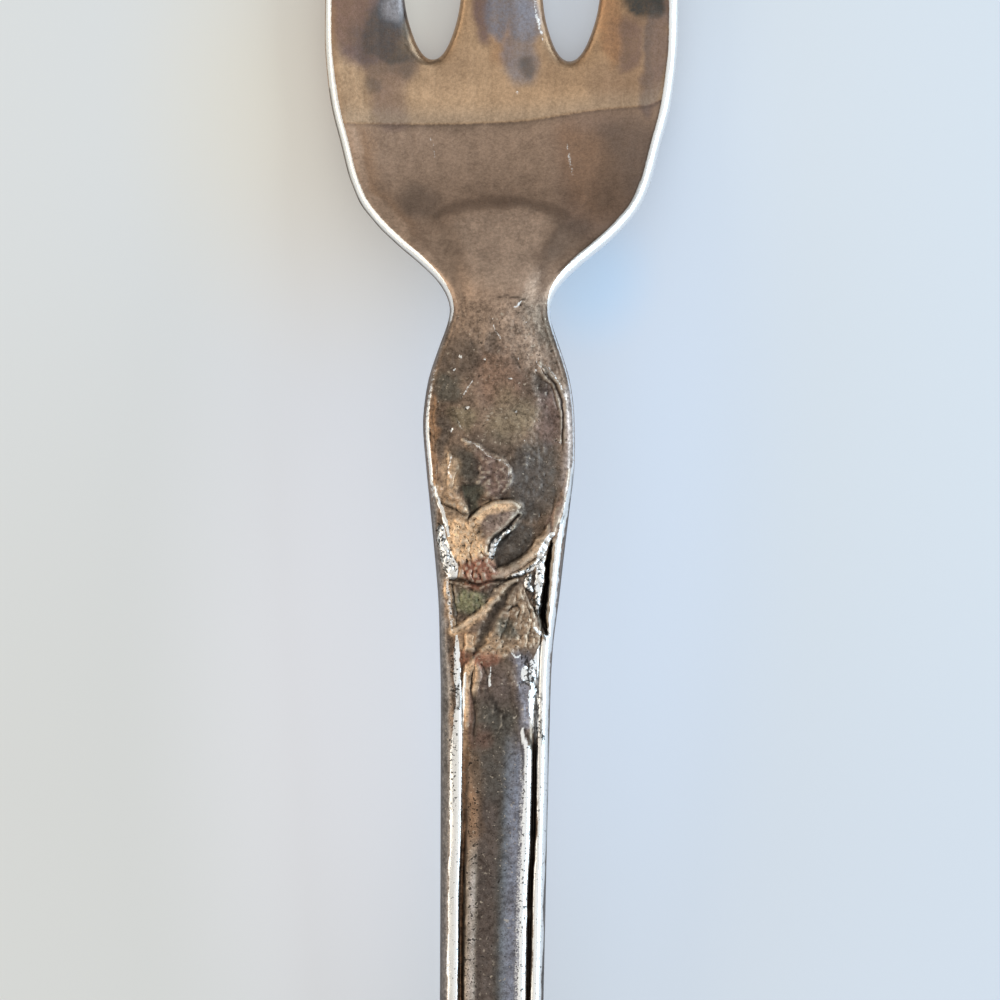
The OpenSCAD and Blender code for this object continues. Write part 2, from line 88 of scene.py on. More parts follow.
def photo_camera():
    """The photograph's camera: above the fork, with the frame's middle on the fork's swelling."""
    middle_y = NECK_Y + HEAD_LENGTH - (PHOTO_SIDE / 2 - GAP_ROOT_PIXEL) / PIXELS_PER_MM * MM
    middle_x = (PHOTO_SIDE / 2 - AXIS_PIXEL) / PIXELS_PER_MM * MM
    target = Vector((middle_x, middle_y, FACE_HEIGHT))
    lens = bpy.data.cameras.new("photo_camera")
    made = bpy.data.objects.new("photo_camera", lens)
    bpy.context.scene.collection.objects.link(made)
    back = Vector((-math.sin(CAMERA_TILT), 0, math.cos(CAMERA_TILT)))
    made.location = target + back * CAMERA_DISTANCE
    made.rotation_euler = Euler((0, -CAMERA_TILT, AXIS_LEAN), "XYZ")
    half_width = PHOTO_SIDE / 2 / PIXELS_PER_MM * MM
    lens.sensor_width = SENSOR
    lens.lens = SENSOR / 2 * CAMERA_DISTANCE / half_width
    lens.clip_start, lens.clip_end = CAMERA_CLIP
    bpy.context.scene.camera = made
    bpy.context.view_layer.update()
    return made


camera = photo_camera()


def photo_places(points):
    """Where points of the fork fall on the photograph, in its pixels."""
    into_view = np.array(camera.matrix_world.inverted())
    seen = points @ into_view[:3, :3].T + into_view[:3, 3]
    scale = camera.data.lens / SENSOR * PHOTO_SIDE
    across = PHOTO_SIDE / 2 - seen[:, 0] / seen[:, 2] * scale
    down = PHOTO_SIDE / 2 + seen[:, 1] / seen[:, 2] * scale
    return np.stack([across, down], 1)


# Lines, outlines and clouds drawn on the photograph's places, and how a line's section rounds off: the
# less, the fuller it is

FULL, FIRM, EVEN, SOFT, FAINT = 0.5, 0.7, 0.8, 1.4, 1.5


def ease(share):
    t = np.clip(share, 0, 1)
    return t * t * (3 - 2 * t)


def smooth_line(points, closed=False, cuts=4):
    """A smooth line through the points, with the half width that each one carries."""
    p = np.array(points, float)
    ends = (p[-1], p[0], p[1]) if closed else (2 * p[0] - p[1], 2 * p[-1] - p[-2])
    p = np.vstack([ends[0], p, *ends[1:]])
    line = []
    for a, b, c, d in zip(p, p[1:], p[2:], p[3:]):
        for t in np.arange(cuts) / cuts:
            bend = (2 * a - 5 * b + 4 * c - d) * t * t + (3 * b - a - 3 * c + d) * t ** 3
            line.append((2 * b + (c - a) * t + bend) / 2)
    line.append(p[-2])
    return np.array(line)


def near(places, line, margin):
    """Which places lie inside the line's own box, widened by the margin."""
    low, high = line[:, :2].min(0) - margin, line[:, :2].max(0) + margin
    return np.nonzero(np.all((places > low) & (places < high), axis=1))[0]


def line_share(places, points, roundness=EVEN):
    """A rounded ridge along a line: 1 on the line, 0 at its sides."""
    line = smooth_line(points)
    share = np.zeros(len(places))
    here = near(places, line, line[:, 2].max())
    if len(here) == 0:
        return share
    spots = places[here]
    nearest = np.ones(len(here))
    for a, b in zip(line, line[1:]):
        step = b - a
        t = np.clip((spots - a[:2]) @ step[:2] / (step[:2] @ step[:2]), 0, 1)
        off = spots - a[:2] - t[:, None] * step[:2]
        nearest = np.minimum(nearest, np.hypot(off[:, 0], off[:, 1]) / (a[2] + t * step[2]))
    share[here] = (1 - nearest * nearest) ** roundness
    return share


def within(places, outline, margin):
    """How far each place lies within a closed outline, in pixels, and down to -margin outside it."""
    depth = np.full(len(places), -float(margin))
    here = near(places, outline, margin)
    if len(here) == 0:
        return depth
    spots = places[here]
    x, y = spots[:, 0], spots[:, 1]
    nearest = np.full(len(here), np.inf)
    crossings = np.zeros(len(here), bool)
    for a, b in zip(outline, outline[1:]):
        step = b - a
        t = np.clip((spots - a) @ step / (step @ step), 0, 1)
        off = spots - a - t[:, None] * step
        nearest = np.minimum(nearest, np.hypot(off[:, 0], off[:, 1]))
        if a[1] != b[1]:
            crossings ^= ((a[1] > y) != (b[1] > y)) & (x < (y - a[1]) / step[1] * step[0] + a[0])
    depth[here] = np.where(crossings, nearest, -np.minimum(nearest, margin))
    return depth


def patch_share(places, soft, points):
    """A patch inside an outline: half at its edge, 1 from half the given distance within it."""
    return ease(within(places, smooth_line(points, closed=True), soft / 2) / soft + 0.5)


def dot_share(places, dots):
    """Small round spots, each with its own x, y and radius."""
    share = np.zeros(len(places))
    for x, y, size in dots:
        off = np.hypot(places[:, 0] - x, places[:, 1] - y) / size
        share = np.maximum(share, np.clip(1 - off * off, 0, 1))
    return share


def highest(places, rows, share_of, *more):
    """The greatest of the rows at each place: a row has its height or strength, and then its shape."""
    top = np.zeros(len(places))
    for height, *shape in rows:
        top = np.maximum(top, height * share_of(places, *shape, *more))
    return top


LATTICE_SIZE = 256
LATTICE = np.random.default_rng(7).uniform(-1, 1, (LATTICE_SIZE, LATTICE_SIZE))
LAYER_SHIFT = (17.3, 5.1)


def clouds(x, y, size, layer=0):
    """Smooth noise from -1 to 1 with spots of about the given size."""
    u, v = x / size + LAYER_SHIFT[0] * layer, y / size + LAYER_SHIFT[1] * layer
    i, j = np.floor(u).astype(int), np.floor(v).astype(int)
    s, t = ease(u - i), ease(v - j)

    def knot(across, up):
        return LATTICE[(i + across) % LATTICE_SIZE, (j + up) % LATTICE_SIZE]
    low_side = knot(0, 0) * (1 - s) + knot(1, 0) * s
    high_side = knot(0, 1) * (1 - s) + knot(1, 1) * s
    return low_side * (1 - t) + high_side * t


def ragged(places, waves):
    """The places, shifted a little by clouds, so that what is drawn on them has uneven edges."""
    for size, amount in waves:
        x, y = places[:, 0], places[:, 1]
        places = places + amount * np.stack([clouds(x, y, size, 1), clouds(x, y, size, 2)], 1)
    return places


# The struck ornament, in the photograph's pixels: lines carry x, y and half width, outlines x and y

UPPER_RIBBON = [
    (539, 363, 1.5), (549, 374, 4), (558, 387, 6), (565, 403, 7), (568, 425, 8), (569, 455, 8),
    (567, 485, 8), (561, 508, 7), (553, 526, 5)
]
LOWER_RIBBON = [
    (568, 470, 3), (564, 500, 5), (555, 522, 6), (541, 543, 6), (527, 558, 5.5), (511, 569, 5),
    (496, 574, 4), (486, 574, 2)
]
RIBBON_CREASE = [
    (541, 366, 1), (549, 377, 2), (556, 389, 2.2), (561, 402, 2), (563, 424, 1.4), (562, 445, 1)
]
INNER_CREASE = [(541, 378, 1), (549, 385, 1.6), (555, 396, 1.6), (559, 410, 1)]
TROUGH = [
    (538, 378, 8), (548, 402, 13), (547, 430, 18), (543, 462, 23), (538, 492, 25), (529, 518, 25),
    (515, 542, 22), (504, 558, 15)
]
HOLLOW = [
    (519, 516), (512, 525), (501, 534), (495, 542), (491, 551), (491, 560), (497, 567), (506, 569),
    (514, 565), (525, 554), (536, 541), (543, 526), (544, 512), (534, 505), (524, 509)
]
UPPER_PETAL = [
    (463, 440), (476, 443), (488, 454), (503, 460), (511, 471), (511, 484), (502, 492), (497, 501),
    (486, 498), (476, 486), (479, 470), (475, 455)
]
UPPER_PETAL_LIP = [
    (463, 440, 2), (476, 444, 3), (488, 455, 3.5), (502, 460, 3.5), (509, 470, 3.5), (510, 481, 3),
    (503, 490, 2)
]
LEFT_RIDGE = [(449, 456, 2), (453, 467, 4.5), (450, 480, 4), (448, 493, 3)]
LEFT_LEAF = [
    (433, 483), (447, 488), (460, 501), (468, 514), (456, 511), (443, 502), (435, 494)
]
LOWER_LEAF = [(440, 504), (452, 511), (466, 516), (470, 522), (459, 520), (449, 523), (443, 515)]
LEAF_LINE = [(440, 503, 1), (452, 509, 1.6), (465, 515, 1.2)]
DARK_RECESS = [
    (460, 486), (481, 485), (483, 497), (479, 504), (475, 520), (470, 521), (467, 505), (461, 496)
]
MAIN_PETAL = [
    (470, 521), (478, 513), (488, 506), (497, 502), (506, 501), (514, 502), (520, 507), (519, 513),
    (511, 522), (503, 529), (496, 535), (492, 543), (489, 551), (486, 557), (477, 551), (473, 538),
    (469, 529)
]
MAIN_PETAL_LIP = [
    (471, 522, 3), (479, 514, 4), (489, 507, 4), (499, 503, 4), (510, 502, 3), (518, 507, 2)
]
PETAL_EDGE = [
    (518, 514, 1.5), (508, 525, 2.2), (500, 532, 2.4), (493, 538, 2.4), (489, 545, 2.2), (487, 552, 1.6)
]
PETAL_BEAD = [(512, 526, 1.8), (505, 533, 2.8), (497, 539, 3.4), (493, 547, 3.4), (491, 556, 2.8)]
FLOWER_BODY = [
    (448, 524), (458, 517), (468, 523), (476, 519), (486, 530), (489, 545), (486, 557), (493, 570),
    (487, 580), (470, 584), (457, 578), (451, 565), (448, 550), (446, 535)
]
BODY_FURROWS = [
    [(461, 550, 1), (466, 558, 2), (464, 570, 2.4), (468, 581, 1.4)],
    [(472, 541, 1), (469, 554, 1.6), (474, 566, 2.6), (472, 575, 1.2), (476, 583, 1.6)],
    [(479, 549, 1.2), (483, 560, 1.6), (478, 571, 2.2), (484, 581, 1.4)],
    [(453, 557, 1), (459, 565, 2), (457, 577, 1.4)]
]
BODY_RIDGE = [(481, 556, 2), (488, 565, 3), (494, 571, 2.5)]
FLOWER_BORDER = [
    (451, 579, 1.2), (463, 583, 2.2), (478, 585, 2.4), (492, 581, 2), (506, 579, 2.2), (519, 576, 2.2),
    (531, 569, 2), (541, 560, 1.8), (549, 547, 1.6), (553, 536, 1)
]
UPPER_FIELD = [
    (452, 585), (466, 587), (500, 583), (512, 583), (497, 594), (482, 611), (470, 618), (456, 628),
    (452, 615)
]
STEM = [(516, 579, 2.5), (498, 591, 3.6), (488, 604, 3.8), (480, 613, 4), (468, 621, 3.8), (455, 630, 2.5)]
DIAGONAL = [(516, 582, 3), (505, 596, 6), (495, 612, 8), (487, 628, 8), (480, 643, 6), (474, 653, 3)]
LEAF = [
    (517, 586), (526, 598), (534, 614), (540, 632), (534, 648), (516, 652), (498, 661), (477, 656),
    (489, 632), (503, 606)
]
LEAF_VEINS = [
    [(516, 596, 1), (508, 620, 2), (494, 652, 1)],
    [(527, 604, 1), (531, 620, 1.8), (526, 645, 1)],
    [(503, 634, 0.8), (505, 645, 1.6), (501, 653, 1)]
]
LEAF_SIDE = [(525, 592, 1), (533, 607, 1.8), (541, 625, 1.8), (546, 637, 1)]
RIGHT_GROOVE = [
    (552, 543, 2), (549, 556, 3.4), (547, 577, 3.8), (545, 597, 4.4), (544, 617, 4.8), (546, 634, 2.5)
]
PEBBLES = [
    [(552, 534, 2.5), (545, 545, 4), (541, 557, 4.5), (540, 575, 5), (539, 595, 4.5), (538, 612, 3)],
    [(541, 560, 3), (531, 567, 3.5), (520, 574, 3), (508, 577, 2)],
    [(529, 576, 2.5), (527, 584, 4), (531, 590, 2)]
]
LEFT_PEBBLES = [(441, 527, 3), (444, 540, 5), (446, 553, 6), (450, 565, 7), (453, 573, 6)]
LEAF_PIT = [(508, 612, 1.2), (511, 608, 2), (517, 606, 2.2), (520, 611, 1.6), (519, 618, 1.2)]
LEAF_PIT_LIP = [(506, 619, 1), (510, 623, 2), (516, 622, 1.6)]
SPUR = [(534, 628, 1.5), (540, 633, 2), (546, 637, 1.2)]
BALL = [(468, 638, 4), (468, 646, 5)]
LEFT_EDGE_LINE = [(436, 496, 1.5), (441, 508, 2), (446, 522, 2), (450, 534, 1.5)]
LEFT_GROOVE = [(453, 583, 1.6), (455, 605, 2), (456, 622, 1.6)]
LEFT_BAND = [(463, 636, 4), (461, 650, 4.5), (462, 668, 4), (459, 690, 3)]
ARCH_LEFT = [(474, 658, 2.5), (468, 668, 4), (466, 684, 3.8), (466, 704, 3.6), (467, 724, 2.8)]
ARCH_INNER = [(477, 660, 2.5), (477, 676, 3.4), (475, 692, 2.6)]
ARCH_CREASE = [(471, 671, 1.2), (471, 685, 1.8), (472, 698, 1.4), (474, 716, 1.6), (474, 738, 1.4)]
ARCH_RIGHT = [(478, 654, 3), (496, 659, 4), (509, 671, 3.5), (517, 686, 3.2), (521, 704, 3), (524, 726, 2.5)]
BRIGHT_RIPPLES = [
    [(523, 664, 1), (529, 669, 2), (534, 670, 1.4)],
    [(521, 683, 1), (530, 680, 2), (536, 688, 1.8), (541, 699, 1.2)],
    [(535, 699, 1), (537, 711, 1.8), (541, 722, 1.2)], [(537, 724, 1), (541, 735, 1.6), (543, 746, 1.2)]
]
FIELD_LINES = [
    [(481, 663, 1), (486, 672, 1.8), (488, 685, 1.2)],
    [(480, 689, 1), (489, 699, 1.6), (494, 706, 1)],
    [(494, 696, 1.6), (495, 704, 2.6), (497, 712, 1.6)],
    [(497, 708, 1), (503, 714, 1.6), (509, 719, 1)],
    [(497, 728, 1), (501, 723, 1.3), (506, 721, 1)],
    [(484, 726, 1), (489, 731, 1.3), (491, 738, 1)],
    [(472, 700, 2), (475, 702, 2.2)]
]
INNER_BREAKS = [[(463, 829, 3), (471, 834, 4), (481, 838, 3)], [(519, 916, 2.5), (529, 913, 3)]]
BULB_LIP = [
    (451, 297, 3), (448, 320, 3.5), (441, 346, 3.5), (433, 372, 3.5), (428, 400, 3.5), (427, 430, 3),
    (429, 460, 2.5), (432, 484, 2)
]
BULB_LIP_LINE = [(433, 398, 1), (434, 425, 1.6), (436, 455, 1.5), (438, 480, 1)]
NECK_CREASE = [(494, 299, 1), (506, 297, 1.8), (518, 299, 1.6), (526, 300, 1)]
BULB_TRIANGLE = [(496, 332), (500, 342), (504, 351), (488, 352), (486, 343), (490, 334)]
BULB_SCRATCHES = [
    [(492, 323, 1), (495, 331, 1.4), (501, 338, 1)],
    [(512, 356, 1), (516, 361, 1.8), (521, 369, 1)],
    [(462, 396, 1), (468, 388, 1.2), (474, 379, 1)],
    [(542, 445, 1), (550, 444, 1.3), (559, 443, 1)],
    [(457, 418, 1), (461, 428, 1.2), (468, 440, 1)]
]
PITS = [
    (430, 433, 2.4), (430, 440, 2.2), (470, 447, 1.8), (478, 472, 2.4), (505, 469, 2), (556, 441, 1.8),
    (556, 469, 1.8), (516, 608, 3.2), (513, 618, 3.4), (506, 629, 4.4), (478, 599, 2), (472, 591, 2),
    (458, 703, 3), (457, 697, 2), (460, 708, 2), (474, 702, 2), (546, 477, 2), (540, 515, 2),
    (437, 404, 2), (502, 499, 2), (490, 500, 2), (479, 532, 2.2), (468, 541, 1.8), (468, 561, 2.2),
    (468, 571, 2.2), (484, 565, 2.2), (475, 583, 2), (444, 523, 2.2), (443, 540, 2), (448, 560, 2),
    (453, 799, 1.6), (452, 815, 1.6), (456, 870, 1.6), (457, 898, 1.6), (450, 908, 1.8), (450, 916, 1.6),
    (454, 922, 1.6), (508, 876, 2), (475, 764, 2.2), (462, 396, 1.6), (490, 417, 2), (521, 367, 1.8),
    (540, 386, 2.4), (547, 393, 2)
]
NICKS = [
    (484, 360, 1.8), (460, 357, 1.9), (454, 370, 1.6), (510, 379, 1.9), (467, 408, 2.6), (486, 420, 1.8),
    (516, 411, 2), (430, 429, 1.6), (452, 430, 2), (518, 359, 1.4), (525, 440, 1.3), (536, 371, 1.6),
    (519, 304, 1.8), (517, 92, 1.4), (627, 5, 1.4), (438, 402, 1.6), (492, 318, 1.4), (526, 322, 1.2)
]
SEEN_START, SEEN_END = 285, 1003
TROUGH_FIELD = [(512, 456), (508, 500), (520, 524), (545, 508), (556, 470), (545, 440), (526, 436)]
DIAGONAL_FIELD = [(518, 582), (500, 590), (482, 618), (466, 650), (478, 658), (494, 630), (514, 600)]
ARCH_FIELD = [(480, 664), (474, 720), (478, 790), (508, 790), (520, 720), (514, 690), (500, 664)]

# Rows of the relief: height, depth or roughness in millimetres, then a line, or a patch's softness and
# outline

RAISED_PATCHES = [
    (0.09, 9, UPPER_PETAL), (0.09, 8, LEFT_LEAF), (0.08, 7, LOWER_LEAF), (0.19, 9, MAIN_PETAL),
    (0.15, 14, FLOWER_BODY), (0.09, 12, LEAF)
]
RAISED_LINES = [
    (0.05, UPPER_RIBBON), (0.14, LOWER_RIBBON), (0.11, UPPER_PETAL_LIP), (0.08, LEFT_RIDGE),
    (0.23, MAIN_PETAL_LIP), (0.19, BODY_RIDGE), (0.10, STEM), (0.09, LEFT_PEBBLES), (0.10, PETAL_BEAD),
    (0.07, LEFT_EDGE_LINE), (0.08, ARCH_LEFT), (0.07, ARCH_INNER), (0.03, ARCH_RIGHT), (0.04, BULB_LIP),
    (0.12, LEAF_PIT_LIP), (0.10, SPUR), (0.09, BALL), *((0.10, line) for line in PEBBLES)
]
SUNKEN_PATCHES = [(0.13, 9, DARK_RECESS), (0.09, 9, UPPER_FIELD), (0.03, 5, BULB_TRIANGLE)]
SUNKEN_LINES = [(0.10, DIAGONAL), (0.09, TROUGH)]
DEEP_PATCHES = [(0.17, 16, HOLLOW)]
CUT_LINES = [
    (0.10, RIBBON_CREASE), (0.04, INNER_CREASE), (0.05, LEAF_LINE), (0.09, FLOWER_BORDER), (0.05, LEAF_SIDE),
    (0.26, RIGHT_GROOVE), (0.05, LEFT_GROOVE), (0.05, LEFT_BAND), (0.03, BULB_LIP_LINE), (0.03, NECK_CREASE),
    (0.14, PETAL_EDGE), (0.05, ARCH_CREASE), (0.08, LEAF_PIT), *((0.05, line) for line in BODY_FURROWS),
    *((0.04, line) for line in LEAF_VEINS + FIELD_LINES), *((0.05, line) for line in BRIGHT_RIPPLES),
    *((0.02, line) for line in BULB_SCRATCHES)
]
PIT_DEPTH = 0.05
GRANULAR_PATCHES = [
    (0.065, 8, FLOWER_BODY), (0.045, 8, LEAF), (0.045, 6, UPPER_PETAL), (0.03, 6, MAIN_PETAL),
    (0.04, 6, UPPER_FIELD), (0.045, 6, LEFT_LEAF), (0.0225, 14, TROUGH_FIELD), (0.0225, 12, HOLLOW),
    (0.03, 8, DIAGONAL_FIELD), (0.02, 12, ARCH_FIELD)
]
GRANULAR_LINES = [(0.09, line) for line in (*PEBBLES, LEFT_PEBBLES, PETAL_BEAD)]
PLAIN_GRAIN = 0.013
COARSE_GRAIN, FINE_GRAIN, FINE_SHARE = 4.6, 2.6, 0.8

# How uneven the edges of what is drawn are: the waves' size and reach in pixels, coarse ones first

RELIEF_WAVES = [(15, 1.6), (6, 0.9)]
STAIN_WAVES = [(16, 3.5), (5, 1.6)]
EDGE_WAVES = [(5, 0.8)]
NICK_WAVES = [(3, 1.3)]


def raised(places):
    """Height of what stands up from the face, in millimetres."""
    patches = highest(places, RAISED_PATCHES, patch_share)
    return np.maximum(patches, highest(places, RAISED_LINES, line_share))


def sunken(places):
    """Depth of the fields and hollows, and of the lines cut into the face, in millimetres."""
    patches = highest(places, SUNKEN_PATCHES, patch_share)
    fields = np.maximum(patches, highest(places, SUNKEN_LINES, line_share, SOFT))
    deep = highest(places, DEEP_PATCHES, patch_share)
    cuts = highest(places, CUT_LINES, line_share)
    return fields + deep + cuts + PIT_DEPTH * dot_share(places, PITS + NICKS)


def grain(places):
    """Height of the cast of fine grains that the worn die and the corrosion leave, in millimetres."""
    x, y = places[:, 0], places[:, 1]
    patches = highest(places, GRANULAR_PATCHES, patch_share)
    rough = np.maximum(patches, highest(places, GRANULAR_LINES, line_share))
    grains = clouds(x, y, COARSE_GRAIN, 3) + FINE_SHARE * clouds(x, y, FINE_GRAIN, 4)
    return np.maximum(rough, PLAIN_GRAIN) * grains


# The threads along the handle: the profile pairs a share of the half width with a height in millimetres,
# and the threads start and run in at pixels of the photograph, each one on the left and on the right

THREAD_PROFILE = [
    (0, 0), (0.31, 0), (0.37, 0.01), (0.43, 0.07), (0.51, 0.12), (0.58, 0.07), (0.62, -0.10),
    (0.66, -0.25), (0.70, -0.11), (0.75, 0.105), (0.84, 0.13), (0.92, 0.09), (1, -0.05)
]
THREADS_TOP = -8
THREADS_FADE = 9
THREADS_START = {"inner": (740, 650), "outer": (630, 470)}
THREADS_RUN_IN = {"inner": 110, "outer": 90}
OUTER_THREAD, OUTER_BLEND = 0.66, 0.08
INNER_THREAD_END = 0.7
LEFT_GROOVE_SHARE = 0.6
BREAK_DEPTH = 0.8
DIE_SHIFT, DIE_SHIFT_ABOVE = 0.12, 0.11
DIE_BEND, DIE_BEND_LENGTH = -32, 4


def die_middle(y):
    """The threads stand a little to the right of the fork's axis, more so below the blossom."""
    return DIE_SHIFT + DIE_SHIFT_ABOVE * ease((y - DIE_BEND) / DIE_BEND_LENGTH)


def threads(share, y, places):
    """Height of the beads and grooves beside the handle's field."""
    profile = smooth_line([(*row, 0) for row in THREAD_PROFILE])
    height = np.interp(share, profile[:, 0], profile[:, 1])
    left = places[:, 0] < PHOTO_SIDE / 2
    height = np.where(left & (height < 0), LEFT_GROOVE_SHARE * height, height)

    def begun(thread):
        start = np.where(left, *THREADS_START[thread])
        return ease((places[:, 1] - start) / THREADS_RUN_IN[thread])
    outer = begun("outer") * ease((share - OUTER_THREAD) / OUTER_BLEND)
    end = ease((y - FLAT_PLACE[1]) / THREADS_FADE)
    breaks = highest(places, [(BREAK_DEPTH, line) for line in INNER_BREAKS], line_share)
    whole = 1 - breaks * (share < INNER_THREAD_END)
    return height * np.maximum(begun("inner"), outer) * end * whole


# A leaf or petal of the broad end, in shares of its own half length, half breadth and height

LEAF_TAPER, LEAF_EDGE, LEAF_CUP = 0.35, 0.22, 0.72
VEIN_BREADTH, VEIN_FADE, VEIN_DEPTH = 0.13, 0.3, 0.22


def leaf_form(x, y, middle, half_length, half_breadth, angle):
    """A leaf or petal on the broad end: cupped, with a vein along it and a lip round it."""
    a = math.radians(angle)
    dx, dy = x - middle[0], y - middle[1]
    along = (dx * math.cos(a) + dy * math.sin(a)) / half_length
    across = (dy * math.cos(a) - dx * math.sin(a)) / half_breadth
    reach = np.hypot(along, across * (1 + LEAF_TAPER * along))
    pad = ease((1 - reach) / LEAF_EDGE)
    vein = np.clip(1 - np.abs(across) / VEIN_BREADTH, 0, 1) * ease((1 - reach) / VEIN_FADE)
    return pad * (LEAF_CUP + (1 - LEAF_CUP) * reach * reach) - VEIN_DEPTH * vein


# The ornament on the broad end, in shares of its width: how far out a petal lies, or where a leaf lies,
# its half length and half breadth, and how many degrees a leaf is splayed

BLOSSOM_HEIGHT = 0.35
PETALS = 5
PETAL_SHARES = (0.21, 0.17, 0.12)
END_LEAF_SHARES = [(0.17, -0.51, 0.24, 0.10, -28), (0.13, 0.65, 0.29, 0.09, 10)]
END_LEAF_HEIGHT_SHARE = 0.7
HEART_SHARE = 0.1
HEART_HEIGHT_SHARE = 1.25
SEED_HEIGHT, SEED_TURN, SEED_REACH = 0.1, 14, 0.9


def end_blossom(x, y):
    """The blossom and the two pairs of leaves on the broad end, as a share of their height."""
    w = TERMINAL_WIDTH
    forms = [np.zeros(len(x))]
    out, length, breadth = PETAL_SHARES
    for i in range(PETALS):
        angle = 90 + i * 360 / PETALS
        turn = math.radians(angle)
        middle = (out * w * math.cos(turn), BLOSSOM_Y + out * w * math.sin(turn))
        forms.append(leaf_form(x, y, middle, length * w, breadth * w, angle))
    for side in (-1, 1):
        for across, along, length, breadth, splay in END_LEAF_SHARES:
            middle = (side * across * w, BLOSSOM_Y + along * w)
            leaf = leaf_form(x, y, middle, length * w, breadth * w, 90 + side * splay)
            forms.append(END_LEAF_HEIGHT_SHARE * leaf)
    reach = np.hypot(x, y - BLOSSOM_Y) / (HEART_SHARE * w)
    heart = np.sqrt(np.clip(1 - reach * reach, 0, 1))
    seeds = SEED_HEIGHT * np.cos(x * SEED_TURN) * np.cos((y - BLOSSOM_Y) * SEED_TURN) * (reach < SEED_REACH)
    return np.maximum(np.max(forms, axis=0), HEART_HEIGHT_SHARE * heart + seeds * heart)


def relief(x, y, half, places):
    """Height of all that is struck into the handle's face, over the plain face, in millimetres."""
    height = np.zeros(len(x))
    seen = (places[:, 1] > SEEN_START) & (places[:, 1] < SEEN_END)
    spots = ragged(places[seen], RELIEF_WAVES)
    height[seen] = raised(spots) - sunken(spots) + grain(places[seen])
    low = y < THREADS_TOP
    share = np.abs(x[low] - die_middle(y[low])) / half[low]
    height[low] += threads(share, y[low], places[low])
    end = y < FLAT_PLACE[1] + THREADS_FADE
    height[end] += BLOSSOM_HEIGHT * end_blossom(x[end], y[end])
    return height


# How many places round a point its crest is measured from

CREST_PLACES = 6


def crest(x, y, half, places, reach):
    """How far the relief stands above its mean round each place, within the reach in millimetres."""
    around = np.zeros(len(x))
    turns = np.arange(CREST_PLACES) * math.tau / CREST_PLACES
    for turn in turns:
        dx, dy = reach * math.cos(turn), reach * math.sin(turn)
        shifted = places + np.array([dx, -dy]) * PIXELS_PER_MM
        around += relief(x + dx, y + dy, half, shifted)
    return relief(x, y, half, places) - around / len(turns)


# The fork's form: how close the solid's own points lie where they are one, and what counts as upright,
# as facing up or down, and as a side, from the step or the normal

ONE_POINT = 0.002 * MM
STEP_SLACK = 0.003 * MM
UPWARD, DOWNWARD, SIDEWAYS, FLAT_UNDER = 0.25, -0.5, 0.12, -0.9


def fork_form(name):
    """A copy of the blank's solid, levelled where it is worn, with its triangles joined to quads."""
    copy = bpy.data.objects.new(name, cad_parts["nickel_silver_blank"].data.copy())
    bpy.context.scene.collection.objects.link(copy)
    form = bmesh.new()
    form.from_mesh(copy.data)
    bmesh.ops.remove_doubles(form, verts=form.verts[:], dist=ONE_POINT)
    level_worn_places(form)
    bmesh.ops.join_triangles(
        form, faces=form.faces[:], angle_face_threshold=math.pi, angle_shape_threshold=math.pi
    )
    form.to_mesh(copy.data)
    form.free()
    return copy


def level_worn_places(form):
    """Where wear has cut through, the blank stands proud by the plating: that step is taken out."""
    def upright(edge):
        step = edge.verts[0].co - edge.verts[1].co
        tall = abs(abs(step.z) - PLATING * MM) < STEP_SLACK + ONE_POINT
        return math.hypot(step.x, step.y) < STEP_SLACK and tall
    steps = {edge for edge in form.edges if upright(edge)}
    lower = {min(edge.verts, key=lambda v: v.co.z) for edge in steps}
    worn = {
        vert for low in lower for face in low.link_faces
        if not steps.intersection(face.edges) for vert in face.verts
    }
    for vert in worn:
        vert.co.z += PLATING * MM
    bmesh.ops.remove_doubles(form, verts=form.verts[:], dist=3 * ONE_POINT)


def smoothed(piece, levels):
    """The piece's mesh, rounded by subdivision, as a new bmesh."""
    rounding = piece.modifiers.new("rounding", "SUBSURF")
    rounding.levels = rounding.render_levels = levels
    seen = piece.evaluated_get(bpy.context.evaluated_depsgraph_get())
    form = bmesh.new()
    form.from_mesh(seen.to_mesh())
    seen.to_mesh_clear()
    piece.modifiers.remove(rounding)
    return form


def refine(form, low, high, lengthwise, cuts):
    """Cuts the edges of the upper side between two distances from the neck."""
    def chosen(edge):
        a, b = edge.verts
        if a.normal.z < UPWARD or b.normal.z < UPWARD:
            return False
        if not (low < (a.co.y - NECK_Y) / MM < high and low < (b.co.y - NECK_Y) / MM < high):
            return False
        step = b.co - a.co
        return (abs(step.y) > abs(step.x)) == lengthwise
    form.normal_update()
    edges = [edge for edge in form.edges if chosen(edge)]
    bmesh.ops.subdivide_edges(form, edges=edges, cuts=cuts, use_grid_fill=True)


def positions(mesh):
    points = np.empty(len(mesh.vertices) * 3)
    mesh.vertices.foreach_get("co", points)
    return points.reshape(-1, 3)


def normals(mesh):
    turned = np.empty(len(mesh.vertices) * 3)
    mesh.vertices.foreach_get("normal", turned)
    return turned.reshape(-1, 3)


def place(mesh, points):
    mesh.vertices.foreach_set("co", points.ravel())
    mesh.update()


# Where the outer sides and the spine's underside are measured, in millimetres: beside the gaps between
# the tines only the sides this far out count

ROW_LENGTH = 0.25
GAPS_START = 12
OUTER_TINES = 5
SPINE_REACH = 0.8


def measured(y, values, chosen):
    """The chosen vertices' mean value along the fork, as a function of the distance from the neck."""
    rows = np.round(y[chosen] / ROW_LENGTH).astype(int)
    first = rows.min()
    count = np.bincount(rows - first)
    here = np.nonzero(count)[0]
    at = np.bincount(rows - first, y[chosen])[here] / count[here]
    mean = np.bincount(rows - first, values[chosen])[here] / count[here]
    return lambda v: np.interp(v, at, mean)


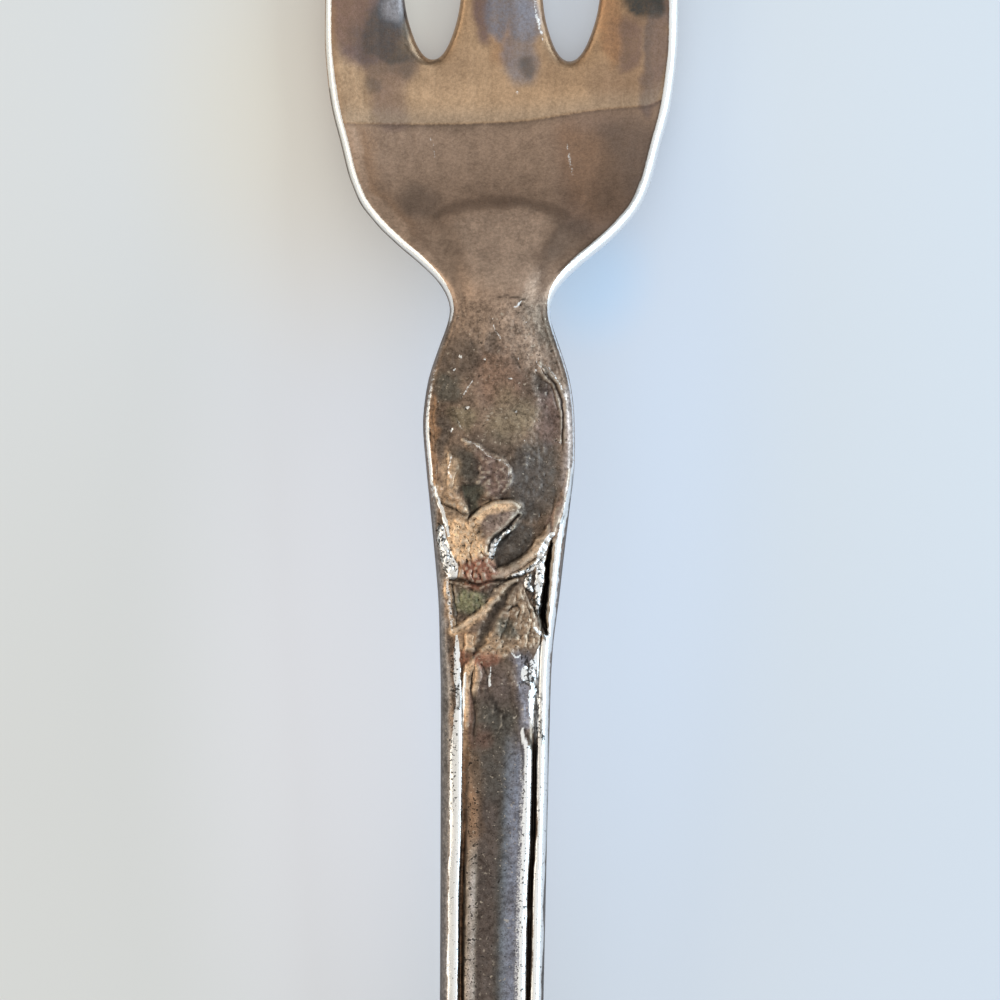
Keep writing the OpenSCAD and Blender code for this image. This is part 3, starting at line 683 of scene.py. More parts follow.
def side_walls(x, y, turned):
    """Which vertices lie on the fork's outer sides."""
    outward = (np.abs(turned[:, 2]) < SIDEWAYS) & (turned[:, 0] * x > 0)
    return outward & ((np.abs(x) > OUTER_TINES) | (y < GAPS_START))


# How the face is carved, in millimetres: the relief's upper end, where the graded face ends and the
# swelling's shift begins and ends, each with its blend, and what keeps all of it under the box's top

RELIEF_TOP, RELIEF_BLEND = 2.5, 2
GRADED_TOP, GRADED_BLEND = 0.8, 1.6
SHIFT_START, SHIFT_START_BLEND = -6, 3
SHIFT_END, SHIFT_END_BLEND = -19, 4
SLOPE_REACH = 0.3
BOX_ROOM, BOX_BEND = 0.16, 0.1

# How far a normal turns up before its place belongs to the carved face, and how far round the rounded
# edge the carving goes, as a share of the rounding

CARVED_FROM, CARVED_BLEND = 0.1, 0.4
JUST_UP = 0.02
TURN_END, TURN_BLEND = 0.94, 0.26


def carve(mesh):
    """Grades the handle's face afresh and strikes the ornament and the threads into it."""
    points, turned = positions(mesh), normals(mesh)
    x, y, z = points[:, 0] / MM, (points[:, 1] - NECK_Y) / MM, points[:, 2] / MM
    sides = side_walls(x, y, turned)
    width = measured(y, np.abs(x), sides)
    half, middle = width(y), measured(y, z, sides)(y)
    slope = (width(y + SLOPE_REACH) - width(y - SLOPE_REACH)) / (2 * SLOPE_REACH)
    depth = (half - np.abs(x)) / np.sqrt(1 + slope ** 2)
    under = measured(y, z, (turned[:, 2] < FLAT_UNDER) & (np.abs(x) < SPINE_REACH))(y)
    thickness = np.interp(y, *zip(*THICKNESS))
    fall = np.interp(y, *zip(*FACE_FALL))
    edge = half - EDGE_ROUND
    inner_share = np.minimum(np.abs(x), edge) / half
    face = under + thickness * (1 - fall * inner_share ** 2)

    shifted = ease((SHIFT_START - y) / SHIFT_START_BLEND) * ease((y - SHIFT_END) / SHIFT_END_BLEND)
    points[:, 0] += SWELLING_SHIFT * shifted * MM
    places = photo_places(points)
    upper = (turned[:, 2] > JUST_UP) & (y < RELIEF_TOP)
    height = np.zeros(len(x))
    height[upper] = relief(x[upper], y[upper], half[upper], places[upper])
    turn = np.clip((np.abs(x) - edge) / EDGE_ROUND, 0, 1)
    graded = middle + (face + height - middle) * np.sqrt(1 - turn * turn)
    weight = ease((TURN_END - turn) / TURN_BLEND) * ease((GRADED_TOP - y) / GRADED_BLEND) * upper
    z = z + (graded - z) * weight
    limit = BOX_TOP - BOX_ROOM
    z = np.where(z > limit, limit + BOX_BEND * np.tanh((z - limit) / BOX_BEND), z)
    points[:, 2] = z * MM
    place(mesh, points)
    return x, y, half, depth, places, upper


# The worn places, in millimetres: ends, half width and half length. Their clouds' size is in millimetres
# too, and the rest are shares of a worn place

WORN_PLACES = [(FLAT_PLACE, 1.7, 3.6), (HEEL_PLACE, 2.6, 1.3)]
WORN_CLOUDS, WORN_UNEVEN = 0.9, 0.3
WORN_GROWTH, WORN_EDGE = 0.12, 0.3


def worn_share(x, y):
    """Where the plating has worn through under the handle's end and under the head's heel."""
    inside = [1 - np.hypot(x / wide, (y - sum(ends) / 2) / long) for ends, wide, long in WORN_PLACES]
    uneven = WORN_UNEVEN * clouds(x, y, WORN_CLOUDS, 5)
    return ease((np.maximum(*inside) + uneven + WORN_GROWTH) / WORN_EDGE)


def settle(mesh, proud, worn_proud, sunk=0):
    """Moves the surface out along its normals, by other amounts where it is worn or under the carving."""
    points, turned = positions(mesh), normals(mesh)
    x, y = points[:, 0] / MM, (points[:, 1] - NECK_Y) / MM
    under = turned[:, 2] < DOWNWARD
    worn = np.zeros(len(x))
    worn[under] = worn_share(x[under], y[under])
    carved = ease((turned[:, 2] - CARVED_FROM) / CARVED_BLEND) * ease((RELIEF_TOP - y) / RELIEF_BLEND)
    amount = (proud + (worn_proud - proud) * worn - sunk * carved) * MM
    place(mesh, points + turned * amount[:, None])


def keep(mesh, name, values):
    """Keeps one number at each vertex, for the material to read."""
    row = mesh.attributes.new(name, "FLOAT", "POINT")
    row.data.foreach_set("value", np.asarray(values, np.float32))


# Stains, and tones that partly stand in for light: painted highlights above the line between the head's
# tones (straw), painted light on the tongue and inside the head's left rim (fawn), painted glints on the
# left tine (ash, haze) and painted shade on the handle's left side (side). In the photograph's pixels:
# for each tone its patches, with their strength, softness and outline

TINE_GLINT = [(386, -12), (385, 14), (391, 22), (398, 20), (400, -12)]
BULB_STAIN = [(437, 374), (459, 376), (459, 399), (441, 399), (435, 388)]
FLOWER_FOOT = [(462, 562), (466, 584), (490, 584), (494, 568), (482, 556)]
# The line across the head between the brown below and the tan above
HEAD_TONE_LINE = [
    (300, 120), (356, 124), (427, 125), (517, 122), (560, 116), (600, 110), (640, 107), (656, 103), (690, 80)
]
TONES = {
    "umber": [
        (0.85, 24, [
            (346, 118), (352, 160), (378, 210), (420, 250), (450, 300), (545, 300), (580, 250), (624, 216),
            (650, 160), (660, 108), (600, 112), (520, 124), (430, 127)
        ])
    ],
    "mauve": [
        (0.95, 16, [
            (330, -20), (334, 40), (352, 64), (378, 70), (400, 40), (400, -20), (390, -64), (352, -84)
        ]),
        (0.55, 12, [(365, 44), (368, 80), (376, 125), (404, 128), (406, 90), (418, 60)]),
        (0.95, 10, [(472, -12), (474, 30), (482, 44), (491, 38), (494, -12), (490, -42), (477, -50)]),
        (0.75, 8, [
            (645, -12), (644, 50), (640, 108), (655, 112), (668, 60), (670, -12), (664, -60), (650, -74)
        ]),
        (0.75, 12, [(612, 18), (609, 58), (626, 76), (642, 56), (642, 22)]),
        (0.25, 20, [(590, 70), (592, 104), (640, 100), (642, 64), (616, 60)]),
        (0.4, 30, [(560, 120), (570, 230), (640, 220), (660, 130)]),
        (0.5, 18, [(484, 350), (474, 380), (486, 410), (512, 412), (522, 380), (508, 345)]),
        (0.6, 7, [(564, 480), (556, 508), (544, 530), (556, 530), (570, 500), (573, 482)]),
        (0.7, 14, [(540, 388), (536, 430), (542, 450), (558, 440), (560, 404), (552, 390)]),
        (0.6, 8, [(478, 452), (480, 492), (502, 494), (508, 470), (494, 458)]),
        (0.35, 10, [(486, 512), (484, 532), (492, 538), (508, 520), (512, 508)]),
        (0.6, 14, [(474, 668), (478, 700), (502, 712), (508, 684), (494, 664)])
    ],
    "copper": [
        (0.2, 14, [(326, -20), (328, 34), (350, 44), (366, 10), (368, -20)]),
        (0.6, 12, [(496, 26), (492, 60), (512, 66), (514, 26)]),
        (0.8, 12, [
            (598, -20), (602, 44), (610, 70), (618, 50), (621, 16), (620, -20), (616, -74), (602, -60)
        ]),
        (0.45, 20, [
            (345, 128), (352, 165), (372, 205), (400, 240), (420, 252), (408, 222), (382, 190), (370, 130)
        ]),
        (0.35, 24, [(560, 130), (568, 200), (600, 220), (630, 200), (600, 140)]),
        (0.25, 18, [(486, 350), (478, 380), (488, 404), (512, 404), (518, 380), (506, 348)]),
        (0.7, 5, [(431, 400), (431, 440), (433, 480), (438, 480), (437, 440), (437, 400)]),
        (0.6, 10, [(454, 548), (478, 540), (490, 550), (493, 570), (486, 584), (462, 584), (454, 570)]),
        (0.6, 8, [(455, 634), (462, 668), (474, 664), (480, 648), (470, 632)]),
        (0.7, 4, [(464, 668), (463, 700), (464, 760), (470, 762), (470, 700), (476, 664)]),
        (0.5, 6, [(470, 762), (470, 830), (474, 838), (483, 836), (481, 764)]),
        (0.3, 8, [(440, 486), (444, 500), (462, 510), (458, 494)]),
        (0.5, 8, [(509, 607), (507, 620), (516, 624), (521, 612), (516, 605)])
    ],
    "straw_and_highlight": [
        # Straw: a pale gold tone; its first two patches are painted highlights just above the line between
        # the head's tones
        (0.30, 30, [(400, 90), (440, 116), (560, 108), (590, 96), (560, 88), (460, 84)]),
        (0.30, 16, [(338, 64), (346, 118), (366, 120), (364, 84), (356, 62)]),
        (0.4, 8, [(432, 483), (447, 488), (460, 501), (470, 518), (448, 522), (436, 500)]),
        (1.0, 8, [(445, 524), (458, 517), (468, 521), (480, 534), (484, 552), (476, 560), (452, 560)]),
        (0.8, 5, [(466, 524), (480, 510), (498, 500), (522, 503), (516, 510), (496, 512), (478, 528)]),
        (0.5, 6, [(447, 452), (460, 462), (458, 486), (446, 492), (442, 470)]),
        (0.3, 6, [(542, 530), (532, 548), (512, 562), (496, 570), (512, 578), (532, 566), (550, 540)]),
        (0.75, 4, [(486, 604), (476, 612), (453, 626), (455, 634), (474, 624), (487, 612)]),
        (0.45, 5, [(514, 578), (498, 589), (484, 604), (487, 611), (500, 598), (514, 584)]),
        (0.3, 12, [(517, 588), (500, 618), (480, 655), (500, 658), (532, 646), (536, 622), (526, 600)]),
        (0.5, 8, [(486, 636), (478, 652), (498, 656), (512, 648), (506, 636)]),
        (0.5, 5, [(462, 636), (462, 650), (472, 652), (475, 642), (470, 635)]),
        (1.0, 3, [(476, 655), (466, 664), (462, 684), (463, 712), (469, 712), (469, 684), (474, 666)]),
        (0.7, 3, [(475, 664), (473, 690), (478, 692), (481, 668)]),
        (0.35, 4, [(464, 712), (464, 748), (468, 748), (470, 712)]),
        (0.8, 3, [(445, 580), (448, 604), (451, 630), (456, 628), (453, 604), (450, 580)])
    ],
    "steel": [
        (0.7, 8, [(382, -12), (380, 14), (390, 27), (402, 24), (404, -12), (400, -36), (388, -44)]),
        (0.8, 10, [(488, -12), (490, 28), (506, 38), (514, -12), (508, -56), (494, -66)]),
        (0.8, 12, [(504, -12), (508, 30), (518, 44), (536, 44), (536, -12), (530, -44), (510, -54)]),
        (0.6, 12, [(506, 36), (504, 60), (512, 82), (532, 80), (537, 56), (530, 38)]),
        (0.5, 12, [(512, 652), (516, 700), (519, 728), (527, 728), (528, 700), (530, 660)]),
        (0.15, 10, [(506, 470), (520, 500), (540, 500), (550, 470), (530, 452)])
    ],
    "green": [
        (0.45, 10, BULB_STAIN),
        (0.6, 6, [(460, 487), (481, 486), (483, 497), (479, 504), (475, 518), (470, 518), (467, 505)]),
        (0.6, 12, [(456, 588), (458, 611), (478, 612), (486, 596), (470, 586)]),
        (0.6, 8, [(498, 620), (496, 634), (514, 636), (514, 622)]),
        (0.4, 24, [(480, 704), (480, 790), (512, 790), (514, 716)]),
        (0.4, 14, [(456, 452), (456, 476), (476, 480), (478, 456)]),
        (0.2, 16, [(520, 300), (530, 330), (550, 350), (556, 330), (540, 305)])
    ],
    "olive": [
        (0.9, 9, [(459, 591), (462, 610), (480, 607), (484, 594), (470, 588)]),
        (0.25, 12, [(450, 408), (452, 426), (470, 430), (474, 414)]),
        (0.22, 20, [(500, 388), (486, 420), (500, 440), (530, 430), (536, 410), (520, 396)])
    ],
    "red": [
        (0.9, 10, FLOWER_FOOT),
        (0.7, 7, [(474, 652), (478, 664), (498, 664), (500, 654), (486, 650)]),
        (0.7, 5, [(463, 652), (463, 668), (471, 662), (473, 654)]),
        (0.4, 6, [(470, 696), (470, 744), (476, 744), (476, 700)]),
        (0.5, 10, [(478, 728), (478, 744), (490, 742), (489, 730)])
    ],
    "soot_and_shade": [
        (0.72, 12, [
            (388, -16), (366, 20), (360, 45), (370, 60), (395, 66), (418, 61), (412, 40), (408, 18),
            (408, -16), (404, -44), (392, -52)
        ]),
        (0.3, 12, [(352, 22), (358, 60), (376, 74), (402, 72), (380, 40)]),
        (0.45, 9, [(364, 80), (371, 75), (381, 82), (374, 92), (365, 91)]),
        (0.45, 10, [(400, 64), (412, 60), (416, 72), (406, 80), (398, 73)]),
        (0.55, 7, [(521, 60), (529, 57), (535, 68), (530, 77), (522, 73)]),
        (0.95, 8, [
            (620, -16), (627, 6), (638, 18), (652, 20), (662, 10), (666, -16), (660, -46), (634, -38)
        ]),
        (0.3, 7, [(646, 24), (644, 70), (641, 108), (650, 108), (652, 60), (655, 26)]),
        (0.35, 30, [(606, 120), (600, 160), (598, 210), (640, 200), (664, 140), (655, 112)]),
        (0.35, 18, [(402, 188), (400, 214), (428, 220), (442, 202), (420, 186)]),
        (0.30, 14, [(547, 213), (556, 216), (592, 226), (574, 246), (552, 262), (544, 250), (552, 232)]),
        (0.12, 14, [(432, 238), (450, 246), (456, 270), (446, 284), (438, 262)]),
        (0.38, 9, BULB_STAIN),
        (0.15, 8, FLOWER_FOOT),
        (0.4, 18, [(446, 344), (438, 372), (460, 380), (484, 352), (468, 334)]),
        (0.3, 14, [(470, 436), (476, 450), (500, 458), (524, 452), (520, 438), (496, 430)]),
        (0.5, 6, [(496, 332), (502, 345), (505, 352), (488, 353), (486, 343)]),
        (0.5, 7, [(439, 420), (438, 450), (446, 452), (448, 420)]),
        (0.5, 10, [(534, 378), (536, 392), (548, 402), (552, 394), (544, 380)]),
        (0.7, 14, [(512, 452), (508, 510), (520, 522), (546, 512), (560, 480), (556, 448), (530, 440)]),
        (0.40, 12, [(494, 604), (492, 640), (512, 640), (522, 616), (514, 600)]),
        (0.5, 10, [(460, 450), (458, 470), (468, 488), (482, 486), (482, 466), (474, 450)]),
        (0.75, 10, [(500, 538), (496, 562), (502, 570), (516, 566), (530, 548), (534, 526), (516, 524)]),
        (0.5, 8, [(484, 582), (512, 582), (500, 592), (484, 600), (478, 590)]),
        (0.5, 10, [(520, 580), (500, 592), (484, 620), (468, 652), (478, 654), (498, 622), (514, 596)]),
        (0.6, 12, [(482, 708), (480, 732), (498, 738), (512, 724), (504, 708)]),
        (0.45, 12, [(477, 690), (471, 720), (472, 790), (500, 790), (512, 740), (512, 690), (500, 664)])
    ],
    "ash_and_glint": [
        # Ash: a pale grey tone, and a painted glint on the left tine
        (0.75, 7, [
            (563, 395), (566, 430), (564, 470), (562, 488), (574, 488), (578, 460), (579, 420),
            (573, 385)
        ]),
        (0.15, 10, [(488, 514), (486, 532), (496, 534), (510, 519), (510, 509)]),
        (0.15, 8, [(645, 20), (644, 104), (656, 108), (668, 60), (670, 16)]),
        (0.35, 6, TINE_GLINT),
        (0.2, 6, [(492, 570), (505, 570), (518, 566), (516, 575), (500, 578)])
    ],
    "fawn_and_light": [
        # Fawn: painted light, lightening the tongue below the heel and a strip inside the head's left rim,
        # and a pale tone on the neck and bulb
        (0.75, 18, [
            (456, 218), (500, 208), (546, 218), (538, 245), (534, 266), (528, 286), (476, 286), (468, 266),
            (460, 245)
        ]),
        (0.3, 12, [(432, 232), (456, 240), (462, 290), (450, 300), (438, 262)]),
        (0.2, 20, [(456, 292), (456, 330), (478, 344), (524, 366), (540, 360), (538, 320), (536, 292)]),
        (0.38, 10, [(498, 316), (512, 350), (536, 374), (548, 362), (532, 330), (514, 310)]),
        (0.5, 7, [
            (346, 130), (351, 176), (366, 210), (397, 239), (420, 258), (436, 284), (443, 302), (452, 302),
            (446, 278), (430, 251), (408, 229), (381, 202), (366, 172), (360, 130)
        ])
    ],
    "haze_and_sheen": [
        # Haze: a bluish-grey tone, a painted glint on the left tine, and in the handle's bands a painted
        # reflection of the window
        (0.15, 6, TINE_GLINT),
        (0.3, 10, [(516, -12), (520, 30), (532, 38), (534, -12)]),
        (0.35, 6, [(517, 656), (517, 700), (520, 727), (527, 727), (527, 700), (525, 662)])
    ],
    "side": [
        # Side: painted shade on the left rounded side of the handle, which faces away from the window
        (0.85, 4, [
            (431, 496), (436, 560), (439, 640), (440, 700), (440, 790), (452, 790), (452, 720), (451, 650),
            (446, 610), (443, 560), (437, 505)
        ])
    ]
}

# Where the silver is rubbed bare, and where it carries black flecks: lines of x, y and half width

BARE_LINES = [
    (1.0, [
        (573, 462, 1.2), (570, 480, 1.6), (567, 500, 2.4), (563, 520, 3), (559, 540, 3.2), (556, 565, 3.4),
        (553, 600, 3.2), (550.5, 630, 3.2), (546, 645, 6), (541, 662, 9), (541, 690, 9), (541.5, 720, 7),
        (542, 750, 6), (541, 800, 4)
    ]),
    (0.5, [(447.5, 577, 2.4), (449, 600, 2.8), (451, 618, 3), (453, 630, 2)]),
    (1.0, [
        (457, 636, 1.6), (457, 650, 2.8), (457.5, 680, 3.4), (460, 700, 4.5), (458, 730, 6), (456, 770, 6),
        (455, 800, 5.5), (454, 826, 5)
    ]),
    (0.7, [(466, 672, 1), (464, 700, 2), (463, 716, 1)]),
    (0.9, [(541, 560, 2), (533, 567, 2.8), (524, 572, 2.8), (514, 576, 2)]),
    (1.0, [(435, 487, 1), (439, 500, 1.8), (443, 513, 2), (447, 526, 2.2), (449, 536, 1.5)]),
    (1.0, [(441, 527, 3), (443, 540, 5), (446, 553, 6), (450, 565, 8), (453, 574, 6)]),
    (1.0, [
        (552, 534, 2.5), (545, 545, 4.2), (541, 557, 4.5), (540, 575, 4.5), (539, 595, 4),
        (538, 612, 2.5)
    ]),
    (0.9, [(530, 576, 2), (527, 584, 3.4), (531, 590, 2)]),
    (0.9, [(537, 580, 3), (536, 588, 3)]),
    (0.9, [(512, 526, 1.5), (505, 533, 2.5), (497, 539, 3.2), (493, 547, 3.2), (491, 556, 2.6)]),
    (0.9, [(534, 628, 1.4), (540, 633, 2.2), (546, 637, 1.2)]),
    (0.9, [(526, 668, 3), (524, 675, 4.5), (527, 681, 3)]),
    (0.7, [(511, 653, 1), (516, 658, 1.6), (521, 654, 1)]),
    (0.9, [(532, 662, 3), (533, 676, 4.5), (534, 688, 4)]),
    (1.0, [(531, 691, 3), (533, 705, 5), (535, 722, 5), (537, 740, 3.5), (539, 755, 2)]),
    (0.9, [
        (521, 727, 1.4), (524, 740, 2.6), (527, 754, 3), (527.5, 770, 3.2), (526, 800, 3),
        (524.5, 825, 3)
    ]),
    (0.7, [(490, 667, 0.8), (490, 676, 1.4), (490, 686, 1)]),
    (0.5, [(534, -8, 1.8), (535, 8, 2), (538, 24, 1.8), (543, 40, 1.2)]),
    (0.42, [(545, 364, 1), (553, 374, 1.6), (560, 386, 1.6), (566, 400, 1)]),
    (0.4, [(556, 441, 0.8), (562, 443, 1.2), (570, 443, 1)]),
    (0.4, [(461, 399, 0.8), (466, 391, 1.4), (472, 381, 1)]),
    (0.4, [(456, 417, 0.8), (459, 424, 1.4), (463, 431, 1)]),
    (0.5, [(536, 362, 1), (544, 370, 1.4), (550, 380, 1)]),
    (0.6, [(493, 325, 0.8), (496, 332, 1.4), (501, 338, 0.8)]),
    (0.7, [(515, 307, 1), (521, 302, 1.4)]),
    (0.5, [(567, 141, 1), (570, 160, 2), (573, 177, 1)]),
    (0.42, [(430, 132, 1), (433, 148, 1.8), (437, 163, 1)]),
    (0.42, [(528, 140, 1), (531, 150, 1.2)]),
    (0.42, [
        (466, 442, 1.4), (478, 446, 1.6), (488, 456, 1.4), (502, 461, 1.8), (509, 470, 1.6),
        (508, 482, 1.4)
    ]),
    (0.5, [(451, 457, 1), (449, 468, 1.8), (451, 478, 1.4)]),
    (0.34, [(434, 486, 1.2), (446, 491, 1.4), (458, 502, 1)])
]
FLECK_LINES = [
    (0.9, [(439, 524, 3), (441, 540, 4), (443, 556, 4), (446, 570, 3)]),
    (0.5, [(450, 560, 6), (453, 574, 6)]),
    (1.0, [(533, 575, 5), (532, 585, 8), (533, 598, 6), (537, 612, 5)]),
    (0.5, [(540, 560, 4), (539, 600, 5)]),
    (0.8, [(532, 566, 4), (520, 574, 5), (508, 578, 3)]),
    (0.8, [(512, 526, 3), (500, 536, 4), (492, 546, 4), (491, 558, 3)]),
    (0.8, [(526, 656, 6), (530, 668, 8), (530, 682, 8), (536, 700, 6)]),
    (0.6, [(537, 705, 6), (540, 740, 4)]),
    (1.0, [(455, 698, 3), (457, 704, 4), (456, 710, 3)]),
    (0.7, [(454, 640, 4), (454, 675, 4), (456, 690, 5)]),
    (0.5, [(455, 690, 5), (453, 760, 6), (451, 810, 5)]),
    (0.5, [(449, 580, 3), (451, 620, 4)])
]
# Dark lines, each with its strength: grime in the cuts, and painted shade along the slopes that face away
# from the window
DARK_LINES = [
    (0.75, [(497, 298, 0.8), (508, 296.5, 1.4), (518, 298, 1.2), (525, 300, 0.8)]),
    (0.6, [(511, 355, 0.8), (516, 361, 1.6), (520, 368, 1)]),
    (0.5, [(513, 411, 0.8), (519, 412, 1.2), (525, 414, 0.8)]),
    (0.5, [(430, 428, 1.2), (430, 434, 1.8), (431, 441, 1.2)]),
    (0.8, [
        (541, 364, 1), (549, 375, 1.8), (556, 387, 2), (561, 400, 1.8), (564, 424, 1.2), (563, 450, 0.8)
    ]),
    (0.9, [
        (518, 515, 1), (508, 525, 1.7), (500, 531.5, 1.8), (493, 538, 1.8), (489, 545, 1.4),
        (487, 552, 1)
    ]),
    (0.9, [(510, 532, 1.4), (503, 540, 3), (497, 548, 3.6), (495, 558, 3.4), (499, 566, 3)]),
    (0.95, [
        (552, 543, 1.8), (549, 556, 3), (547, 577, 3.4), (545, 597, 4), (544, 617, 4.6), (546, 634, 2.4)
    ]),
    (0.8, [(534, 606, 1), (538, 616, 2), (541, 626, 2.4), (545, 640, 1.4)]),
    (0.85, [(452, 578, 1.2), (464, 580, 1.8), (474, 583, 1.6), (482, 584, 1.4)]),
    (0.85, [(496, 580, 1.2), (503, 581, 1.8), (512, 578, 1.6), (522, 575, 1.6), (531, 571, 1)]),
    (0.3, [(514, 584, 3), (505, 596, 4.5), (495, 612, 6), (487, 628, 6), (480, 643, 5), (474, 653, 2)]),
    (0.6, [(440, 499, 0.8), (446, 505, 1.6), (454, 508, 1.8), (466, 515, 1.8)]),
    (0.75, [(469, 498, 2), (470, 512, 2), (468, 524, 1)]),
    (0.6, [(452, 584, 2), (454, 604, 1.6), (456, 620, 2.2), (462, 617, 1.4)]),
    (0.7, [(463, 668, 1), (467, 662, 2), (474, 657, 1.4)]),
    (0.65, [
        (471, 672, 0.9), (471, 685, 1.6), (472, 697, 1.2), (475, 702, 2.6), (475, 716, 1.6),
        (474, 738, 1.4)
    ]),
    (0.5, [(481, 664, 1), (486, 672, 2), (488, 685, 1.4)]),
    (0.5, [(484, 690, 1), (490, 698, 1.6), (494, 703, 1)]),
    (0.85, [(493, 696, 1.4), (495, 704, 2.4), (498, 712, 1.4)]),
    (0.6, [(498, 708, 1), (503, 714, 1.5), (509, 719, 0.8)]),
    (0.5, [(467, 745, 1.5), (467, 770, 2.2), (466, 800, 2.2), (464, 828, 1.4)]),
    (0.9, [
        (523, 727, 1.2), (528, 738, 2.6), (533, 752, 3), (534, 775, 3.4), (533, 800, 3.4),
        (531.5, 840, 3)
    ]),
    (0.8, [(520, 738, 0.9), (522, 750, 1.2), (523, 762, 1.6), (523, 778, 1)]),
    (0.8, [(520, 683, 1), (530, 681, 1.8), (536, 688, 1.6), (541, 699, 1)]),
    (0.7, [(535, 698, 1), (537, 711, 1.6), (541, 722, 1), (541, 735, 1.2), (542, 746, 0.8)]),
    (0.8, [(536, 670, 1.6), (537, 680, 1.8), (538, 686, 1)]),
    (0.7, [
        (453, 697, 1.4), (454, 706, 1.6), (459, 707, 1.6), (460, 699, 1.2), (457, 694, 1.4),
        (458, 684, 1.2)
    ]),
    (0.7, [(507, 612, 0.8), (511, 608, 1.4), (517, 606, 1.6), (520, 611, 1.2)]),
    (0.7, [(507, 623, 1), (511, 628, 1.8), (512, 633, 1.2)]),
    (0.5, [(405, 44, 1.6), (415, 58, 2.2), (428, 64, 2), (440, 61, 1.6)]),
    (0.45, [(404, 10, 1.4), (404, 30, 1.6), (410, 50, 1.4)])
]
FLECK_PATCHES = [(0.18, 8, FLOWER_BODY), (0.18, 8, LEAF)]

# Painted shade round the heel, where its step slopes, and beside the neck, how bare the nicks are, and
# the row of the photograph below which the finish is coarse

HEEL_ARC = [
    (0.36, [
        (436, 217, 5), (455, 208, 7), (482, 204, 8), (508, 203, 8), (534, 206, 7), (553, 210, 7),
        (568, 216, 5)
    ])
]
NECK_SIDES = [
    (0.18, [(440, 226, 5), (452, 250, 9), (458, 280, 8), (462, 300, 5)]),
    (0.18, [(560, 226, 5), (550, 246, 8), (542, 270, 7), (540, 300, 6)])
]
NICK_SHARE = 0.75
COARSE_START, COARSE_BLEND = 280, 40

# How wide the outer edges are rubbed bare: places along the fork and widths, in millimetres, then how
# strongly along the bulb below the neck, and each strip's start, end and their blends from the outline

RIGHT_RIM = ([-1.5, 0, 1, 3, 9, 26, 38], [0.03, 0.12, 0.28, 0.46, 0.46, 0.42, 0.12])
LEFT_RIM = ([-1.5, 1, 3, 12, 15, 26, 38], [0.08, 0.20, 0.33, 0.33, 0.27, 0.27, 0.12])
LEFT_BULB_SHARES = ([-7, -4.5, -2, 0], [0.8, 0.45, 0.1, 0.2])
RIGHT_BULB_SHARE = 0.6
HEAD_RIM_START, HEAD_RIM_BLEND = -1.5, 1.5
BULB_RIM_START, BULB_RIM_BLEND = 0.5, 1.5
BULB_RIM_END, BULB_RIM_END_BLEND = -12, 4
OUTLINE_START, OUTLINE_BLEND = 0.02, 0.04
RIGHT_HEAD_BLEND, LEFT_HEAD_BLEND = 0.08, 0.07
RIGHT_BULB_STRIP = (OUTLINE_START, OUTLINE_BLEND, 0.10, 0.08)
LEFT_BULB_STRIP = (0.10, 0.06, 0.24, 0.10)

# Tones in bands along the handle, many of them painted light and shade: the blue-grey right half of the
# field (steel, haze) is a painted reflection of the window, the brown left half (mauve, soot) painted
# shade, and the dark bands on the grooves' left-facing walls and at the right edge, and the side band at
# the left edge, painted shade; the bare bands are rubbed silver on the beads. Each band has its strength
# above and below the change of tone, and the band's sides and softness, as shares of the half width. The
# band of the upper bead is by itself, because it also fades out upwards, and the waves of the bands'
# sides have a reach, a size and a layer of the clouds

HANDLE_BANDS = [
    ("bare", 1.0, 1.0, 0.745, 0.915, 0.03), ("bare", 0.95, 0.95, -0.91, -0.73, 0.04),
    ("bare", 0.85, 0.85, 0.46, 0.61, 0.06), ("bare", 0.42, 0.42, 0.38, 0.48, 0.08),
    ("straw_and_highlight", 0, 0.2, -0.50, -0.41, 0.08), ("ash_and_glint", 0, 0.75, -0.56, -0.39, 0.12),
    ("olive", 0, 0.4, -0.56, -0.38, 0.12), ("copper", 0.65, 0.65, -0.69, -0.62, 0.04),
    ("mauve", 0.5, 0.5, -0.69, -0.62, 0.04), ("dark", 0.55, 0.95, -0.63, -0.565, 0.03),
    ("dark", 0.9, 0.9, 0.64, 0.73, 0.05), ("dark", 0.85, 0.85, 0.92, 1.1, 0.03),
    ("mauve", 0.6, 0.6, -0.38, 0.12, 0.12), ("soot_and_shade", 0.62, 0.62, -0.38, 0.10, 0.12),
    ("green", 0.4, 0.4, -0.02, 0.22, 0.16), ("steel", 0.85, 0.85, 0.06, 0.48, 0.14),
    ("haze_and_sheen", 0.25, 0.25, 0.14, 0.40, 0.12), ("haze_and_sheen", 0.5, 0.5, 0.32, 0.48, 0.10),
    ("side", 0.8, 0.8, -1.1, -0.90, 0.03), ("flecks", 0.3, 0.3, 0.38, 0.60, 0.05),
    ("flecks", 0.5, 0.5, -0.58, -0.36, 0.05), ("flecks", 0.15, 0.15, -0.90, 0.95, 0.03)
]
UPPER_BEAD_BAND = ("copper", 0.35, 0, -0.56, -0.38, 0.10)
UPPER_BEAD_TOP, UPPER_BEAD_BLEND = -24, 2
BANDS_TOP, BANDS_BLEND = -22.3, 2.5
TONE_CHANGE, TONE_CHANGE_BLEND = -31, 3
BAND_WAVES = [(0.010, 2.2, 6), (0.014, 0.4, 7)]

# Painted shade beside the outline, as dark lines: strength, depth inside it and blend, and where along
# the fork each one starts or ends, in millimetres

INNER_LINE, INNER_LINE_START = (0.5, 0.52, 0.06), 2
LEFT_LINE, LEFT_LINE_END = (0.8, 0.02, 0.1), 12
RIGHT_LINE, RIGHT_LINE_TOP = (0.75, 0.04, 0.08), -8.5


